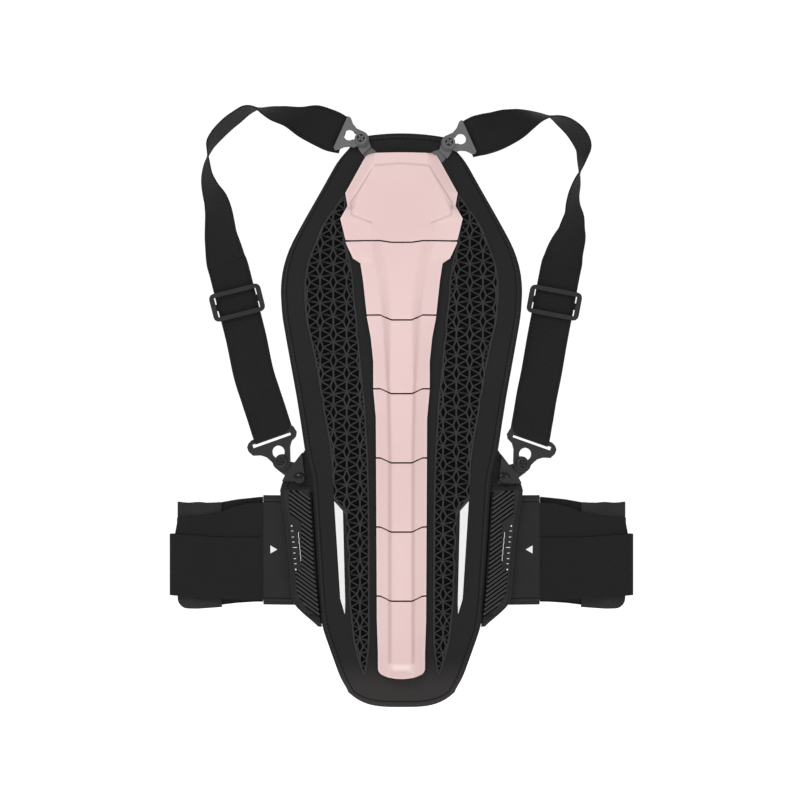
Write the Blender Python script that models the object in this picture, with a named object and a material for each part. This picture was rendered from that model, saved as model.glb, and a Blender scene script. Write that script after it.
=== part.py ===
"""Motorcycle back protector: seven hinged spine segments, two elastic waist belts and two shoulder straps.

Frame: +Z runs up the wearer's spine, -Y points away from the wearer, and the origin lies on the flat
inner face of the lumbar pad, on the spine's centre line. All lengths are in metres.
Every layer is first laid out flat, as a height above the wearer's side, and then wrapped round the back.
"""
import math

import bmesh
import bpy
from mathutils import Matrix, Vector

# --- driving dimensions -------------------------------------------------------------------------
SEAM_Z = (0.290, 0.219, 0.150, 0.085, 0.020, -0.045)  # hinge lines between the seven segments
LUMBAR = 6  # the segment that carries the belts and rests on the wearer's waist
TOP_Z, TOP_ARCH = 0.3932, 0.0030  # crown of the backing and the drop to its corners
BOTTOM_Z, BOTTOM_ARCH = -0.1474, 0.0132

WRAP_RADIUS = 0.60  # sideways curve round the back
THORAX_START, THORAX_RISE = 0.085, 0.016  # the upper back bulges outwards above this height
SACRUM_START, SACRUM_RISE = -0.075, 0.006

PAD_OUT = 0.0100  # heights of the layers, measured outwards from the inner face
PANEL_IN, PANEL_OUT = 0.0103, 0.0183
PLATE_BASE = 0.0190
HINGE_HEIGHT = PLATE_BASE + 0.0030
SHELL = 0.0024  # wall of the hard plates

SEAM_GAP = 0.0010  # joint line between two plates
CUT_GAP = 0.0004  # joint line between two foam segments
WEDGE = math.tan(math.radians(5.5))  # each face leans back by this, so two of them close at 11 degrees
TOUCH = 0.0003  # gap between pieces that touch

WEB_WIDTH, WEB_THICK = 0.038, 0.0016

# backing outline, as (height, half width)
BACKING = (
    (0.3902, 0.0435), (0.3723, 0.0595), (0.3421, 0.0756), (0.3119, 0.0921), (0.2892, 0.1040),
    (0.2741, 0.1096), (0.2589, 0.1129), (0.2438, 0.1139), (0.2211, 0.1125), (0.1909, 0.1073),
    (0.1455, 0.0992), (0.1153, 0.0945), (0.0926, 0.0912), (0.0690, 0.0855), (0.0095, 0.0817),
    (-0.0558, 0.0775), (-0.0737, 0.0747), (-0.0964, 0.0666), (-0.1191, 0.0581), (-0.1342, 0.0487),
)
# hard shell outline, as (height, half width), broken where a plate steps in
SHELL_EDGE = (
    (0.3733, 0.0293), (0.3665, 0.0362), (0.3360, 0.0527), (0.3232, 0.0507), (0.3110, 0.0574),
    (0.2890, 0.0521), (0.2740, 0.0455), (0.2690, 0.0385), (0.2514, 0.0359), (0.2190, 0.0326),
    (0.1985, 0.0288), (0.1758, 0.0265), (0.1500, 0.0265), (0.1228, 0.0241), (-0.0660, 0.0232),
    (-0.0960, 0.0222), (-0.1100, 0.0222),
)
# line where the side facets meet the crown, as (height, half width)
CREASE = (
    (0.3733, 0.0240), (0.3630, 0.0253), (0.3195, 0.0455), (0.3060, 0.0300), (0.2900, 0.0290),
    (0.2620, 0.0240), (0.2190, 0.0180), (0.1500, 0.0140), (0.0850, 0.0128), (-0.1200, 0.0128),
)
CREASE_WIDTH = 0.0038
EDGE_HEIGHT, CREST_HEIGHT, CHANNEL_HEIGHT = 0.0030, 0.0100, 0.0085
PLATE_END_Z = -0.1153
ROW_STEP = 0.018  # longest straight stretch of a plate's side view

KNUCKLE_R, BORE_R, PIN_R = 0.0025, 0.00132, 0.0012
PIN_HALF = 0.0095

# side wing, as (height, outer half width)
WING_EDGE = (
    (0.0593, 0.1134), (0.0539, 0.1153), (0.0425, 0.1134), (0.0274, 0.1105), (0.0095, 0.1086),
    (-0.0104, 0.1067), (-0.0444, 0.1041), (-0.0515, 0.1021), (-0.0586, 0.0950), (-0.0662, 0.0860),
    (-0.0725, 0.0780),
)
WING_IN, WING_OUT = 0.0105, 0.0155
WING_SIDE_GAP = 0.0008

TAB_TOP, TAB_BOTTOM = 0.0515, -0.0525
TAB_INNER_X, TAB_FOLD_X = 0.0920, 0.1317
BELT_FOLD_X = 0.2210
FOLD_CLEAR = 0.0018  # half of the open gap at a fabric fold
BELT_IN, BELT_OUT = 0.0070, 0.0100
TAIL_IN, TAIL_OUT = 0.0030, 0.0055
TAIL_END_X = 0.1390

SHOULDER_STUD = {"left": (-0.0365, 0.3846), "right": (0.0428, 0.3808)}  # x and z of each stud
WAIST_STUD = {"left": (-0.1104, 0.0837), "right": (0.1110, 0.0816)}
EAR_IN, EAR_OUT = 0.0120, 0.0150
BRACKET_IN, BRACKET_OUT = 0.0188, 0.0206
HOOK_THICK = 0.0024
RIVET_OFFSET = {"left": (0.0171, -0.0160), "right": (0.0171, -0.0136)}  # from the stud, x towards the spine

# webbing routes, hook to fold: x, y, z and the turn of the webbing about its own length in degrees
UPPER_ROUTE = {
    "left": (
        (-0.0622, -0.0222, 0.3938, 0), (-0.0723, -0.0200, 0.3988, 8), (-0.0855, -0.0165, 0.4042, 22),
        (-0.1016, -0.0125, 0.4095, 52), (-0.1177, -0.0095, 0.4136, 63), (-0.1280, -0.0080, 0.4168, 74),
        (-0.1375, -0.0070, 0.4190, 88), (-0.1469, -0.0062, 0.4168, 98), (-0.1564, -0.0058, 0.4101, 102),
        (-0.1649, -0.0055, 0.4035, 103), (-0.1744, -0.0052, 0.3941, 102), (-0.1810, -0.0050, 0.3851, 98),
        (-0.1833, -0.0050, 0.3771, 90), (-0.1850, -0.0050, 0.3664, 80), (-0.1847, -0.0050, 0.3525, 71),
        (-0.1810, -0.0050, 0.3402, 62), (-0.1767, -0.0050, 0.3308, 53), (-0.1739, -0.0050, 0.3204, 47),
        (-0.1725, -0.0050, 0.3081, 41), (-0.1714, -0.0050, 0.2968, 37),
    ),
    "right": (
        (0.0706, -0.0200, 0.3892, 0), (0.0780, -0.0185, 0.3915, 4), (0.0902, -0.0165, 0.3964, 16),
        (0.1035, -0.0140, 0.4021, 30), (0.1158, -0.0115, 0.4073, 50), (0.1280, -0.0095, 0.4105, 70),
        (0.1413, -0.0080, 0.4110, 86), (0.1521, -0.0070, 0.4063, 100), (0.1620, -0.0062, 0.3990, 107),
        (0.1690, -0.0056, 0.3905, 110), (0.1730, -0.0052, 0.3810, 108), (0.1718, -0.0050, 0.3700, 100),
        (0.1701, -0.0050, 0.3591, 90), (0.1672, -0.0050, 0.3480, 79), (0.1640, -0.0050, 0.3360, 73),
        (0.1633, -0.0050, 0.3260, 67), (0.1642, -0.0050, 0.3160, 59), (0.1625, -0.0050, 0.3050, 50),
        (0.1610, -0.0050, 0.2968, 43),
    ),
}
MIDDLE_ROUTE = {
    "left": (
        (-0.1684, -0.0050, 0.2825, 28), (-0.1660, -0.0050, 0.2722, 14), (-0.1634, -0.0050, 0.2650, 0),
        (-0.1472, -0.0050, 0.2011, 0),
    ),
    "right": (
        (0.1555, -0.0050, 0.2825, 32), (0.1527, -0.0050, 0.2722, 16), (0.1505, -0.0050, 0.2650, 0),
        (0.1383, -0.0050, 0.2011, 0),
    ),
}
LOWER_ROUTE = {
    "left": (
        (-0.1458, -0.0050, 0.1958, 0), (-0.1403, -0.0050, 0.1682, 0), (-0.1332, -0.0050, 0.1455, 0),
        (-0.1285, -0.0050, 0.1313, 0),
    ),
    "right": (
        (0.1373, -0.0050, 0.1958, 0), (0.1326, -0.0050, 0.1682, 0), (0.1280, -0.0050, 0.1455, 0),
        (0.1256, -0.0050, 0.1300, 0),
    ),
}
SLIDER_Z = 0.2339
SLIDER_SIZE, SLIDER_WINDOW = (0.050, 0.027), (0.0405, 0.0185)
SLIDER_BAR = 0.0026  # thickness of every bar of the slider

SIDES = (("left", -1.0), ("right", 1.0))


# --- small helpers ------------------------------------------------------------------------------
def interpolate(table, z):
    """Read a (height, value) table that runs from top to bottom."""
    if z >= table[0][0]:
        return table[0][1]
    for (z_hi, v_hi), (z_lo, v_lo) in zip(table, table[1:]):
        if z >= z_lo:
            return v_lo + (v_hi - v_lo) * (z - z_lo) / (z_hi - z_lo)
    return table[-1][1]


def wrap(x):
    """How far the back curves towards the wearer at a distance from the spine."""
    return x * x / (2.0 * WRAP_RADIUS)


def spine(z):
    """Side view of the spine: flat at the waist, outwards at the upper back and the tail."""
    if z > THORAX_START:
        t = min((z - THORAX_START) / (TOP_Z - THORAX_START), 1.0)
        return -THORAX_RISE * math.sin(math.pi * 0.86 * t) ** 2
    if z < SACRUM_START:
        return -SACRUM_RISE * ((SACRUM_START - z) / (SACRUM_START - BOTTOM_Z)) ** 2
    return 0.0


def skin(x, z, height):
    """World point at a height above the wearer's side."""
    return Vector((x, wrap(x) + spine(z) - height, z))


def surface_frame(x, z, height):
    """Matrix of a flat piece that lies on the back at this point; its local -Y points outwards."""
    step = 0.001
    slope_x = x / WRAP_RADIUS
    slope_z = (spine(z + step) - spine(z - step)) / (2.0 * step)
    normal = Vector((slope_x, -1.0, slope_z)).normalized()
    along = Vector((1.0, slope_x, 0.0)).normalized()
    up = normal.cross(along)
    turn = Matrix((along, -normal, up)).transposed().to_4x4()
    return Matrix.Translation(skin(x, z, 0.0) + normal * height) @ turn


def hinge_point(seam):
    """Centre of the hinge pin of a seam, counted from 0 at the top."""
    z = SEAM_Z[seam]
    return Vector((0.0, spine(z) - HINGE_HEIGHT, z))


def make_material(name, colour, roughness, metallic=0.0):
    material = bpy.data.materials.new(name)
    material.use_nodes = True
    shader = material.node_tree.nodes["Principled BSDF"]
    shader.inputs["Base Color"].default_value = (*colour, 1.0)
    shader.inputs["Roughness"].default_value = roughness
    shader.inputs["Metallic"].default_value = metallic
    material.diffuse_color = (*colour, 1.0)
    return material


def add_object(name, bm, material, matrix=None, smooth=None):
    """Turn a bmesh into a named object; smooth is the angle above which an edge stays sharp."""
    bmesh.ops.remove_doubles(bm, verts=bm.verts, dist=1e-6)
    bmesh.ops.recalc_face_normals(bm, faces=bm.faces)
    mesh = bpy.data.meshes.new(name)
    bm.to_mesh(mesh)
    bm.free()
    if smooth is not None:
        mesh.shade_smooth()
        mesh.set_sharp_from_angle(angle=math.radians(smooth))
    obj = bpy.data.objects.new(name, mesh)
    mesh.materials.append(material)
    bpy.context.scene.collection.objects.link(obj)
    if matrix is not None:
        obj.matrix_world = matrix
    return obj


def make_cutter(obj):
    obj.hide_render = True
    obj.display_type = "WIRE"


def boolean(obj, other, operation):
    """Join another object to this one, or cut it away, and keep the other as a wire guide."""
    make_cutter(other)
    modifier = obj.modifiers.new(other.name, "BOOLEAN")
    modifier.operation = operation
    modifier.object = other


def bridge_rings(bm, rings):
    """Skin a row of equal closed rings and close both ends."""
    rows = [[bm.verts.new(point) for point in ring] for ring in rings]
    count = len(rings[0])
    for low, high in zip(rows, rows[1:]):
        for i in range(count):
            j = (i + 1) % count
            bm.faces.new((low[i], low[j], high[j], high[i]))
    bm.faces.new(list(reversed(rows[0])))
    bm.faces.new(rows[-1])


def box_bmesh(size, centre):
    bm = bmesh.new()
    bmesh.ops.create_cube(bm, size=1.0)
    bmesh.ops.scale(bm, vec=size, verts=bm.verts)
    bmesh.ops.translate(bm, vec=centre, verts=bm.verts)
    return bm


def prism_bmesh(outline, height, thickness):
    """Extrude an x-z outline outwards from a height, in a piece's local frame."""
    bm = bmesh.new()
    low = [Vector((x, -height, z)) for x, z in outline]
    high = [Vector((x, -height - thickness, z)) for x, z in outline]
    bridge_rings(bm, (low, high))
    return bm


def turned_bmesh(profile, steps=20):
    """Turn a (radius, height) profile about the local Y axis, with height pointing outwards."""
    bm = bmesh.new()
    verts = [bm.verts.new((radius, -height, 0.0)) for radius, height in profile]
    edges = [bm.edges.new(pair) for pair in zip(verts, verts[1:])]
    bmesh.ops.spin(
        bm, geom=verts + edges, axis=(0, 1, 0), cent=(0, 0, 0), angle=2.0 * math.pi, steps=steps,
        use_merge=True, use_duplicate=False,
    )
    return bm


def arc(radius, start, end, steps, centre=(0.0, 0.0)):
    """Points of an arc in the x-z plane, angles in degrees from +X towards +Z."""
    points = []
    for i in range(steps + 1):
        angle = math.radians(start + (end - start) * i / steps)
        points.append((centre[0] + radius * math.cos(angle), centre[1] + radius * math.sin(angle)))
    return points


def mirrored(outline, side):
    return [(x * -side, z) for x, z in outline]


# --- the seven segments -------------------------------------------------------------------------
def cut_z(seam, y, sign):
    """Height of a segment's end face: sign +1 for the face above the seam, -1 for the one below."""
    hinge = hinge_point(seam)
    return hinge.z + sign * (0.5 * CUT_GAP + max(0.0, y - hinge.y) * WEDGE)


def end_heights(segment, x, y):
    """Lowest and highest z of a foam segment at a point; segments count from 1 at the top."""
    if segment == 1:
        high = TOP_Z - TOP_ARCH * (x / BACKING[0][1]) ** 2
    else:
        high = cut_z(segment - 2, y, -1.0)
    if segment == 7:
        low = BOTTOM_Z + BOTTOM_ARCH * abs(x / BACKING[-1][1]) ** 3.2
    else:
        low = cut_z(segment - 1, y, 1.0)
    return low, high


def segment_span(segment):
    high = BACKING[0][0] if segment == 1 else SEAM_Z[segment - 2]
    low = BACKING[-1][0] if segment == 7 else SEAM_Z[segment - 1]
    return low, high


def foam_segment(segment, half_width, columns, outer, inner, rows):
    """Closed slab between two seams; columns are (distance from the edge or None, share of the width)."""
    low, high = segment_span(segment)
    rings = []
    for row in range(rows + 1):
        part = row / rows
        nominal = low + (high - low) * part
        half = half_width(nominal)
        ring = []
        for face in (outer, inner):
            line = []
            for inset, share in columns:
                x = (half - inset) if share is None else (half - columns[-1][0]) * share
                rim = inset if share is None else None
                z_low, z_high = end_heights(segment, x, face(x, nominal, rim))
                z = z_low + (z_high - z_low) * part
                line.append(Vector((x, face(x, z, rim), z)))
            mirror = [Vector((-p.x, p.y, p.z)) for p in reversed(line) if p.x > 1e-6]
            ring.append(line + mirror)
        rings.append(ring[0] + list(reversed(ring[1])))
    bm = bmesh.new()
    bridge_rings(bm, rings)
    return bm


# (inset from the edge, None) for the rounded rim, then (its inset, share of what is left)
PANEL_COLUMNS = ((0.0, None), (0.0022, None), (0.0070, None), (0.0070, 0.75), (0.0070, 0.5), (0.0070, 0.25),
                 (0.0070, 0.0))
PAD_COLUMNS = ((0.0, None), (0.0060, None), (0.0060, 0.66), (0.0060, 0.33), (0.0060, 0.0))


def rim_drop(inset, steps):
    """How far a face falls back next to the edge."""
    if inset is None:
        return 0.0
    for limit, drop in steps:
        if inset <= limit:
            return drop
    return 0.0


def panel_outer(x, z, inset):
    return skin(x, z, PANEL_OUT - rim_drop(inset, ((0.0, 0.0028), (0.0022, 0.0010)))).y


def panel_inner(x, z, inset):
    return skin(x, z, PANEL_IN + rim_drop(inset, ((0.0, 0.0024), (0.0022, 0.0008)))).y


def pad_outer(x, z, inset):
    return skin(x, z, PAD_OUT - rim_drop(inset, ((0.0, 0.0012),))).y


def pad_inner(x, z, inset):
    """The pads' inner faces stay flat from side to side."""
    return skin(0.0, z, rim_drop(inset, ((0.0, 0.0030),))).y


def backing_half(z):
    return interpolate(BACKING, z)


def pad_half(z):
    return min(0.065, backing_half(z) - 0.014)


def build_foam(materials):
    for segment in range(1, 8):
        rows = 6 if segment in (1, 7) else 4
        panel = foam_segment(segment, backing_half, PANEL_COLUMNS, panel_outer, panel_inner, rows)
        add_object(f"back_panel_{segment}", panel, materials["foam"], smooth=50)
        pad = foam_segment(segment, pad_half, PAD_COLUMNS, pad_outer, pad_inner, rows)
        add_object(f"foam_pad_{segment}", pad, materials["pad"], smooth=50)


# --- hard plates and their hinges ---------------------------------------------------------------
def seam_shape(seam, x):
    """Offset of a plate's edge from the hinge line: the middle of every seam but the first dips."""
    dip = 0.0008 if seam == 0 else 0.0023
    flat, shoulder = 0.0095, 0.0200
    share = min(max((abs(x) - flat) / (shoulder - flat), 0.0), 1.0)
    return dip * (2.0 * share - 1.0)


def plate_edge_z(segment, x, y):
    """Lowest and highest z of a plate at a point of its surface."""
    if segment == 1:
        high = 0.3740 - 0.0007 * (x / SHELL_EDGE[0][1]) ** 2
    else:
        seam = segment - 2
        hinge = hinge_point(seam)
        high = hinge.z + seam_shape(seam, x) - 0.5 * SEAM_GAP - max(0.0, y - hinge.y) * WEDGE
    if segment == 7:
        low = PLATE_END_Z - 0.0047 * (1.0 - (x / SHELL_EDGE[-1][1]) ** 2)
    else:
        seam = segment - 1
        hinge = hinge_point(seam)
        low = hinge.z + seam_shape(seam, x) + 0.5 * SEAM_GAP + max(0.0, y - hinge.y) * WEDGE
    return low, high


def plate_profile(z, segment):
    """Half widths and heights of a plate's cross-section, from its foot to the middle."""
    half = interpolate(SHELL_EDGE, z)
    crease = min(interpolate(CREASE, z), half - 0.004)
    crest, channel = CREST_HEIGHT, CHANNEL_HEIGHT
    if segment == 1:  # the shoulder plate has a raised field in place of a channel
        share = min(max((z - SEAM_Z[0]) / 0.018, 0.0), 1.0)
        crest -= 0.0012 * share
        channel += 0.0007 * share
    return ((half, 0.0), (half, EDGE_HEIGHT), (crease, crest), (crease - CREASE_WIDTH, channel))


def plate_rows(segment):
    """Heights at which a plate's cross-section is set: its ends and every corner of its outline."""
    high = SHELL_EDGE[0][0] if segment == 1 else SEAM_Z[segment - 2]
    low = PLATE_END_Z if segment == 7 else SEAM_Z[segment - 1]
    corners = [z for z, _ in SHELL_EDGE + CREASE if low + 0.003 < z < high - 0.003]
    heights = [low] + sorted(set(corners)) + [high]
    filled = [low]
    for below, above in zip(heights, heights[1:]):
        steps = math.ceil((above - below) / ROW_STEP)
        filled += [below + (above - below) * (i + 1) / steps for i in range(steps)]
    return filled


def plate_sheet(segment):
    """Outer surface of a plate, closed by a wall at the free ends of the first and the last one."""
    heights = plate_rows(segment)
    low, high = heights[0], heights[-1]
    rows = []
    for nominal in heights:
        half_row = plate_profile(nominal, segment)
        row = [(x, h) for x, h in half_row] + [(-x, h) for x, h in reversed(half_row)]
        part = (nominal - low) / (high - low)
        line = []
        for x, h in row:
            point = skin(x, nominal, PLATE_BASE + h)
            z_low, z_high = plate_edge_z(segment, x, point.y)
            line.append(skin(x, z_low + (z_high - z_low) * part, PLATE_BASE + h))
        rows.append(line)
    if segment == 1:
        rows.append([Vector((p.x, skin(p.x, p.z, PLATE_BASE).y, p.z)) for p in rows[-1]])
    if segment == 7:
        rows.insert(0, [Vector((p.x, skin(p.x, p.z, PLATE_BASE).y, p.z)) for p in rows[0]])
    bm = bmesh.new()
    verts = [[bm.verts.new(point) for point in row] for row in rows]
    for lower, upper in zip(verts, verts[1:]):
        for i in range(len(lower) - 1):
            bm.faces.new((lower[i], lower[i + 1], upper[i + 1], upper[i]))
    bmesh.ops.remove_doubles(bm, verts=bm.verts, dist=1e-6)
    return bm


def face_outwards(obj):
    """Point an open sheet's faces away from the wearer."""
    bm = bmesh.new()
    bm.from_mesh(obj.data)
    if sum(face.normal.y * face.calc_area() for face in bm.faces) > 0.0:
        bmesh.ops.reverse_faces(bm, faces=bm.faces)
    bm.to_mesh(obj.data)
    bm.free()


def knuckle_tube(name, seam, x_from, x_to, material):
    """Short barrel round the hinge pin."""
    steps = 16
    centre = hinge_point(seam)
    bm = bmesh.new()
    rings = []
    for x in (x_from, x_to):
        for radius in (KNUCKLE_R, BORE_R):
            ring = []
            for i in range(steps):
                angle = 2.0 * math.pi * i / steps
                offset = Vector((x, radius * math.cos(angle), radius * math.sin(angle)))
                ring.append(bm.verts.new(centre + offset))
            rings.append(ring)
    outer_a, inner_a, outer_b, inner_b = rings
    for one, two in ((outer_a, inner_a), (inner_a, inner_b), (inner_b, outer_b), (outer_b, outer_a)):
        for i in range(steps):
            j = (i + 1) % steps
            bm.faces.new((one[i], one[j], two[j], two[i]))
    return add_object(name, bm, material)


def knuckle_web(name, seam, x_range, z_range, height_range, material):
    """Block that ties a barrel to its plate; heights are above the plate's foot."""
    base = hinge_point(seam)
    foot = base.y + (HINGE_HEIGHT - PLATE_BASE)
    size = (x_range[1] - x_range[0], height_range[1] - height_range[0], abs(z_range[1] - z_range[0]))
    centre = (sum(x_range) / 2.0, foot - sum(height_range) / 2.0, base.z + sum(z_range) / 2.0)
    return add_object(name, box_bmesh(size, centre), material)


def add_knuckles(plate, segment, material):
    """Two barrels under the plate's lower edge and one above its upper edge."""
    if segment < 7:
        for side, sign in SIDES:
            near, far = sorted((sign * 0.0040, sign * 0.0090))
            name = f"guide_{segment}_low_{side}"
            boolean(plate, knuckle_tube(name + "_tube", segment - 1, near, far, material), "UNION")
            web = knuckle_web(
                name + "_web", segment - 1, (near, far), (0.0004, 0.0055), (0.0046, 0.0072), material)
            boolean(plate, web, "UNION")
    if segment > 1:
        name = f"guide_{segment}_top"
        boolean(plate, knuckle_tube(name + "_tube", segment - 2, -0.0035, 0.0035, material), "UNION")
        for label, z_range, heights in (
            ("arm", (-0.0002, -0.0065), (0.0046, 0.00575)), ("riser", (-0.0036, -0.0066), (0.0045, 0.0072)),
        ):
            web = knuckle_web(
                f"{name}_{label}", segment - 2, (-0.0034, 0.0034), z_range, heights, material)
            boolean(plate, web, "UNION")


def build_plates(materials):
    for segment in range(1, 8):
        plate = add_object(f"spine_plate_{segment}", plate_sheet(segment), materials["shell"])
        face_outwards(plate)
        wall = plate.modifiers.new("wall", "SOLIDIFY")
        wall.thickness = SHELL
        wall.offset = -1.0
        wall.use_even_offset = True
        add_knuckles(plate, segment, materials["shell"])
    for seam in range(6):
        bm = bmesh.new()
        bmesh.ops.create_cone(
            bm, cap_ends=True, segments=12, radius1=PIN_R, radius2=PIN_R, depth=2.0 * PIN_HALF)
        turn = Matrix.Translation(hinge_point(seam)) @ Matrix.Rotation(math.radians(90.0), 4, "Y")
        add_object(f"hinge_pin_{seam + 1}", bm, materials["steel"], turn, smooth=30)


# --- shoulder and waist fittings ----------------------------------------------------------------
STUD_PROFILE = (
    (0.0, 0.0), (0.0024, 0.0), (0.0024, 0.0033), (0.0060, 0.0033), (0.0060, 0.0045), (0.0046, 0.0055),
    (0.0, 0.0059),
)
RIVET_PROFILE = ((0.0, 0.0), (0.0049, 0.0), (0.0049, 0.0012), (0.0036, 0.0026), (0.0, 0.0031))

# outlines on the left side, from the stud, x towards the spine and z up
UPPER_HOOK = (
    [(-0.0129, 0.0219), (-0.0100, 0.0204), (-0.0076, 0.0142), (-0.0040, 0.0098)]
    + arc(0.0072, 60, -115, 8)
    + [(-0.0066, -0.0083), (-0.0113, -0.0074), (-0.0163, -0.0078), (-0.0215, -0.0103),
       (-0.0249, -0.0104), (-0.0259, -0.0080)]
)
UPPER_HOLE = ((-0.0113, 0.0036), 0.0051)
LOWER_HOOK = (
    [(0.0074, 0.0352), (0.0112, 0.0333), (0.0147, 0.0280), (0.0139, 0.0235), (0.0098, 0.0193),
     (0.0082, 0.0136), (0.0084, 0.0060)]
    + arc(0.0086, 10, -170, 9)
    + [(-0.0105, 0.0005), (-0.0143, 0.0038), (-0.0198, 0.0055), (-0.0274, 0.0052), (-0.0316, 0.0088),
       (-0.0333, 0.0130), (-0.0320, 0.0168), (-0.0291, 0.0198)]
)
LOWER_HOLE = ((-0.0029, 0.0089), 0.0061)
WEB_SLOT = ((-0.0096, 0.0203), (0.0388, 0.0034), 19.3)  # centre, length and width, slope in degrees
HOOK_EAR = (
    [(0.0193, 0.0084), (0.0120, -0.0010)]
    + arc(0.0070, 0, 205, 9)
    + [(-0.0045, -0.0080), (0.0027, -0.0133), (-0.0002, -0.0188), (0.0236, -0.0188), (0.0226, -0.0147),
       (0.0205, -0.0043)]
)
SHOULDER_BRACKET = arc(0.0066, 30, 230, 9) + [(-0.0020, -0.0100), (0.0014, -0.0146), (0.0090, -0.0071)]


def keyhole(hole, neck=0.0030):
    """Outline of a keyhole: a round for the stud's neck, widening into a hole for its head."""
    (cx, cz), radius = hole
    distance = math.hypot(cx, cz)
    heading = math.degrees(math.atan2(cz, cx))
    spread = math.degrees(math.asin(neck / radius))
    small = arc(neck, heading + 90, heading + 270, 8)
    big = arc(radius, heading - 180 + spread, heading + 180 - spread, 14, (cx, cz))
    assert distance > neck
    return small + big


def build_hook(name, outline, hole, side, matrix, material, slot=None):
    hook = add_object(
        name, prism_bmesh(mirrored(outline, side), 0.0003, HOOK_THICK), material, matrix)
    cutter = prism_bmesh(mirrored(keyhole(hole), side), -0.003, HOOK_THICK + 0.006)
    boolean(hook, add_object(f"guide_{name}_keyhole", cutter, material, matrix), "DIFFERENCE")
    if slot:
        (cx, cz), (length, width), slope = slot
        bm = box_bmesh((length, HOOK_THICK + 0.006, width), (0.0, -HOOK_THICK / 2.0, 0.0))
        turn = Matrix.Rotation(math.radians(slope * side), 4, "Y")
        place = matrix @ Matrix.Translation((cx * -side, 0.0, cz)) @ turn
        boolean(hook, add_object(f"guide_{name}_slot", bm, material, place), "DIFFERENCE")
    return hook


def build_fittings(materials):
    for name, side in SIDES:
        x, z = SHOULDER_STUD[name]
        seat = surface_frame(x, z, 0.0)
        bracket = prism_bmesh(mirrored(SHOULDER_BRACKET, side), BRACKET_IN, BRACKET_OUT - BRACKET_IN)
        add_object(f"shoulder_bracket_{name}", bracket, materials["grey"], seat)
        top = surface_frame(x, z, BRACKET_OUT + TOUCH)
        add_object(f"shoulder_stud_{name}", turned_bmesh(STUD_PROFILE), materials["grey"], top, 35)
        build_hook(f"upper_hook_{name}", UPPER_HOOK, UPPER_HOLE, side, top, materials["grey"])

        x, z = WAIST_STUD[name]
        seat = surface_frame(x, z, 0.0)
        ear = prism_bmesh(mirrored(HOOK_EAR, side), EAR_IN, EAR_OUT - EAR_IN)
        add_object(f"hook_ear_{name}", ear, materials["black"], seat)
        top = surface_frame(x, z, EAR_OUT + TOUCH)
        add_object(f"waist_stud_{name}", turned_bmesh(STUD_PROFILE), materials["black"], top, 35)
        build_hook(
            f"lower_hook_{name}", LOWER_HOOK, LOWER_HOLE, side, top, materials["black"], WEB_SLOT)
        x, z = RIVET_OFFSET[name]
        rivet = top @ Matrix.Translation((x * -side, 0.0, z))
        add_object(f"wing_rivet_{name}", turned_bmesh(RIVET_PROFILE), materials["black"], rivet, 35)


# --- wings and belts ----------------------------------------------------------------------------
def wing_slab(side, heights, outer, inner, low, high):
    """Slab beside the backing between two edges given as functions of height."""
    rings = []
    for z in heights:
        a, b = outer(z), inner(z)
        xs = [a + (b - a) * i / 3 for i in range(4)]
        front = [skin(side * x, z, high) for x in xs]
        back = [skin(side * x, z, low) for x in reversed(xs)]
        rings.append(front + back)
    bm = bmesh.new()
    bridge_rings(bm, rings)
    return bm


def belt_slab(side, x_from, x_to, edges, low, high, steps):
    """Slab along a belt; edges gives its top and bottom height at a share of its length."""
    rings = []
    for i in range(steps + 1):
        share = i / steps
        x = x_from + (x_to - x_from) * share
        top, bottom = edges(share)
        points = []
        for z, height in ((top, low), (top, high), (bottom, high), (bottom, low)):
            point = skin(side * x, 0.0, height)
            point.z = z
            points.append(point)
        rings.append(points)
    bm = bmesh.new()
    bridge_rings(bm, rings)
    return bm


def band_edges(share):
    return 0.0485 - 0.0065 * share, -0.0475


def tail_edges(share):
    """The closure pad near the fold is taller than the rest of the tail."""
    on_pad = 0.04 < share < 0.62
    return (0.0435, -0.0576) if on_pad else (0.0400, -0.0480)


def build_belts(materials):
    def outer(z):
        return interpolate(WING_EDGE, z)

    def inner(z):
        return backing_half(z) + WING_SIDE_GAP

    heights = [z for z, _ in WING_EDGE]
    trim_heights = [0.0571] + [z for z in heights if -0.060 < z < 0.0571] + [-0.0605]
    for name, side in SIDES:
        base = wing_slab(side, heights, outer, inner, WING_IN, WING_OUT)
        add_object(f"side_wing_{name}", base, materials["foam"])
        trim = wing_slab(
            side, trim_heights, lambda z: outer(z) - 0.0035, lambda z: inner(z) + 0.0022,
            WING_OUT + TOUCH, WING_OUT + 0.0025)
        add_object(f"wing_panel_{name}", trim, materials["carbon"])
        tab = belt_slab(
            side, TAB_INNER_X, TAB_FOLD_X - FOLD_CLEAR, lambda share: (TAB_TOP, TAB_BOTTOM),
            BELT_IN, BELT_OUT, 4)
        add_object(f"belt_tab_{name}", tab, materials["tab"])
        band = belt_slab(
            side, TAB_FOLD_X + FOLD_CLEAR, BELT_FOLD_X - 0.0020, band_edges, BELT_IN, BELT_OUT, 8)
        add_object(f"belt_band_{name}", band, materials["elastic"])
        tail = belt_slab(
            side, BELT_FOLD_X - 0.0020, TAIL_END_X, tail_edges, TAIL_IN, TAIL_OUT, 25)
        add_object(f"belt_tail_{name}", tail, materials["elastic"])


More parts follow.
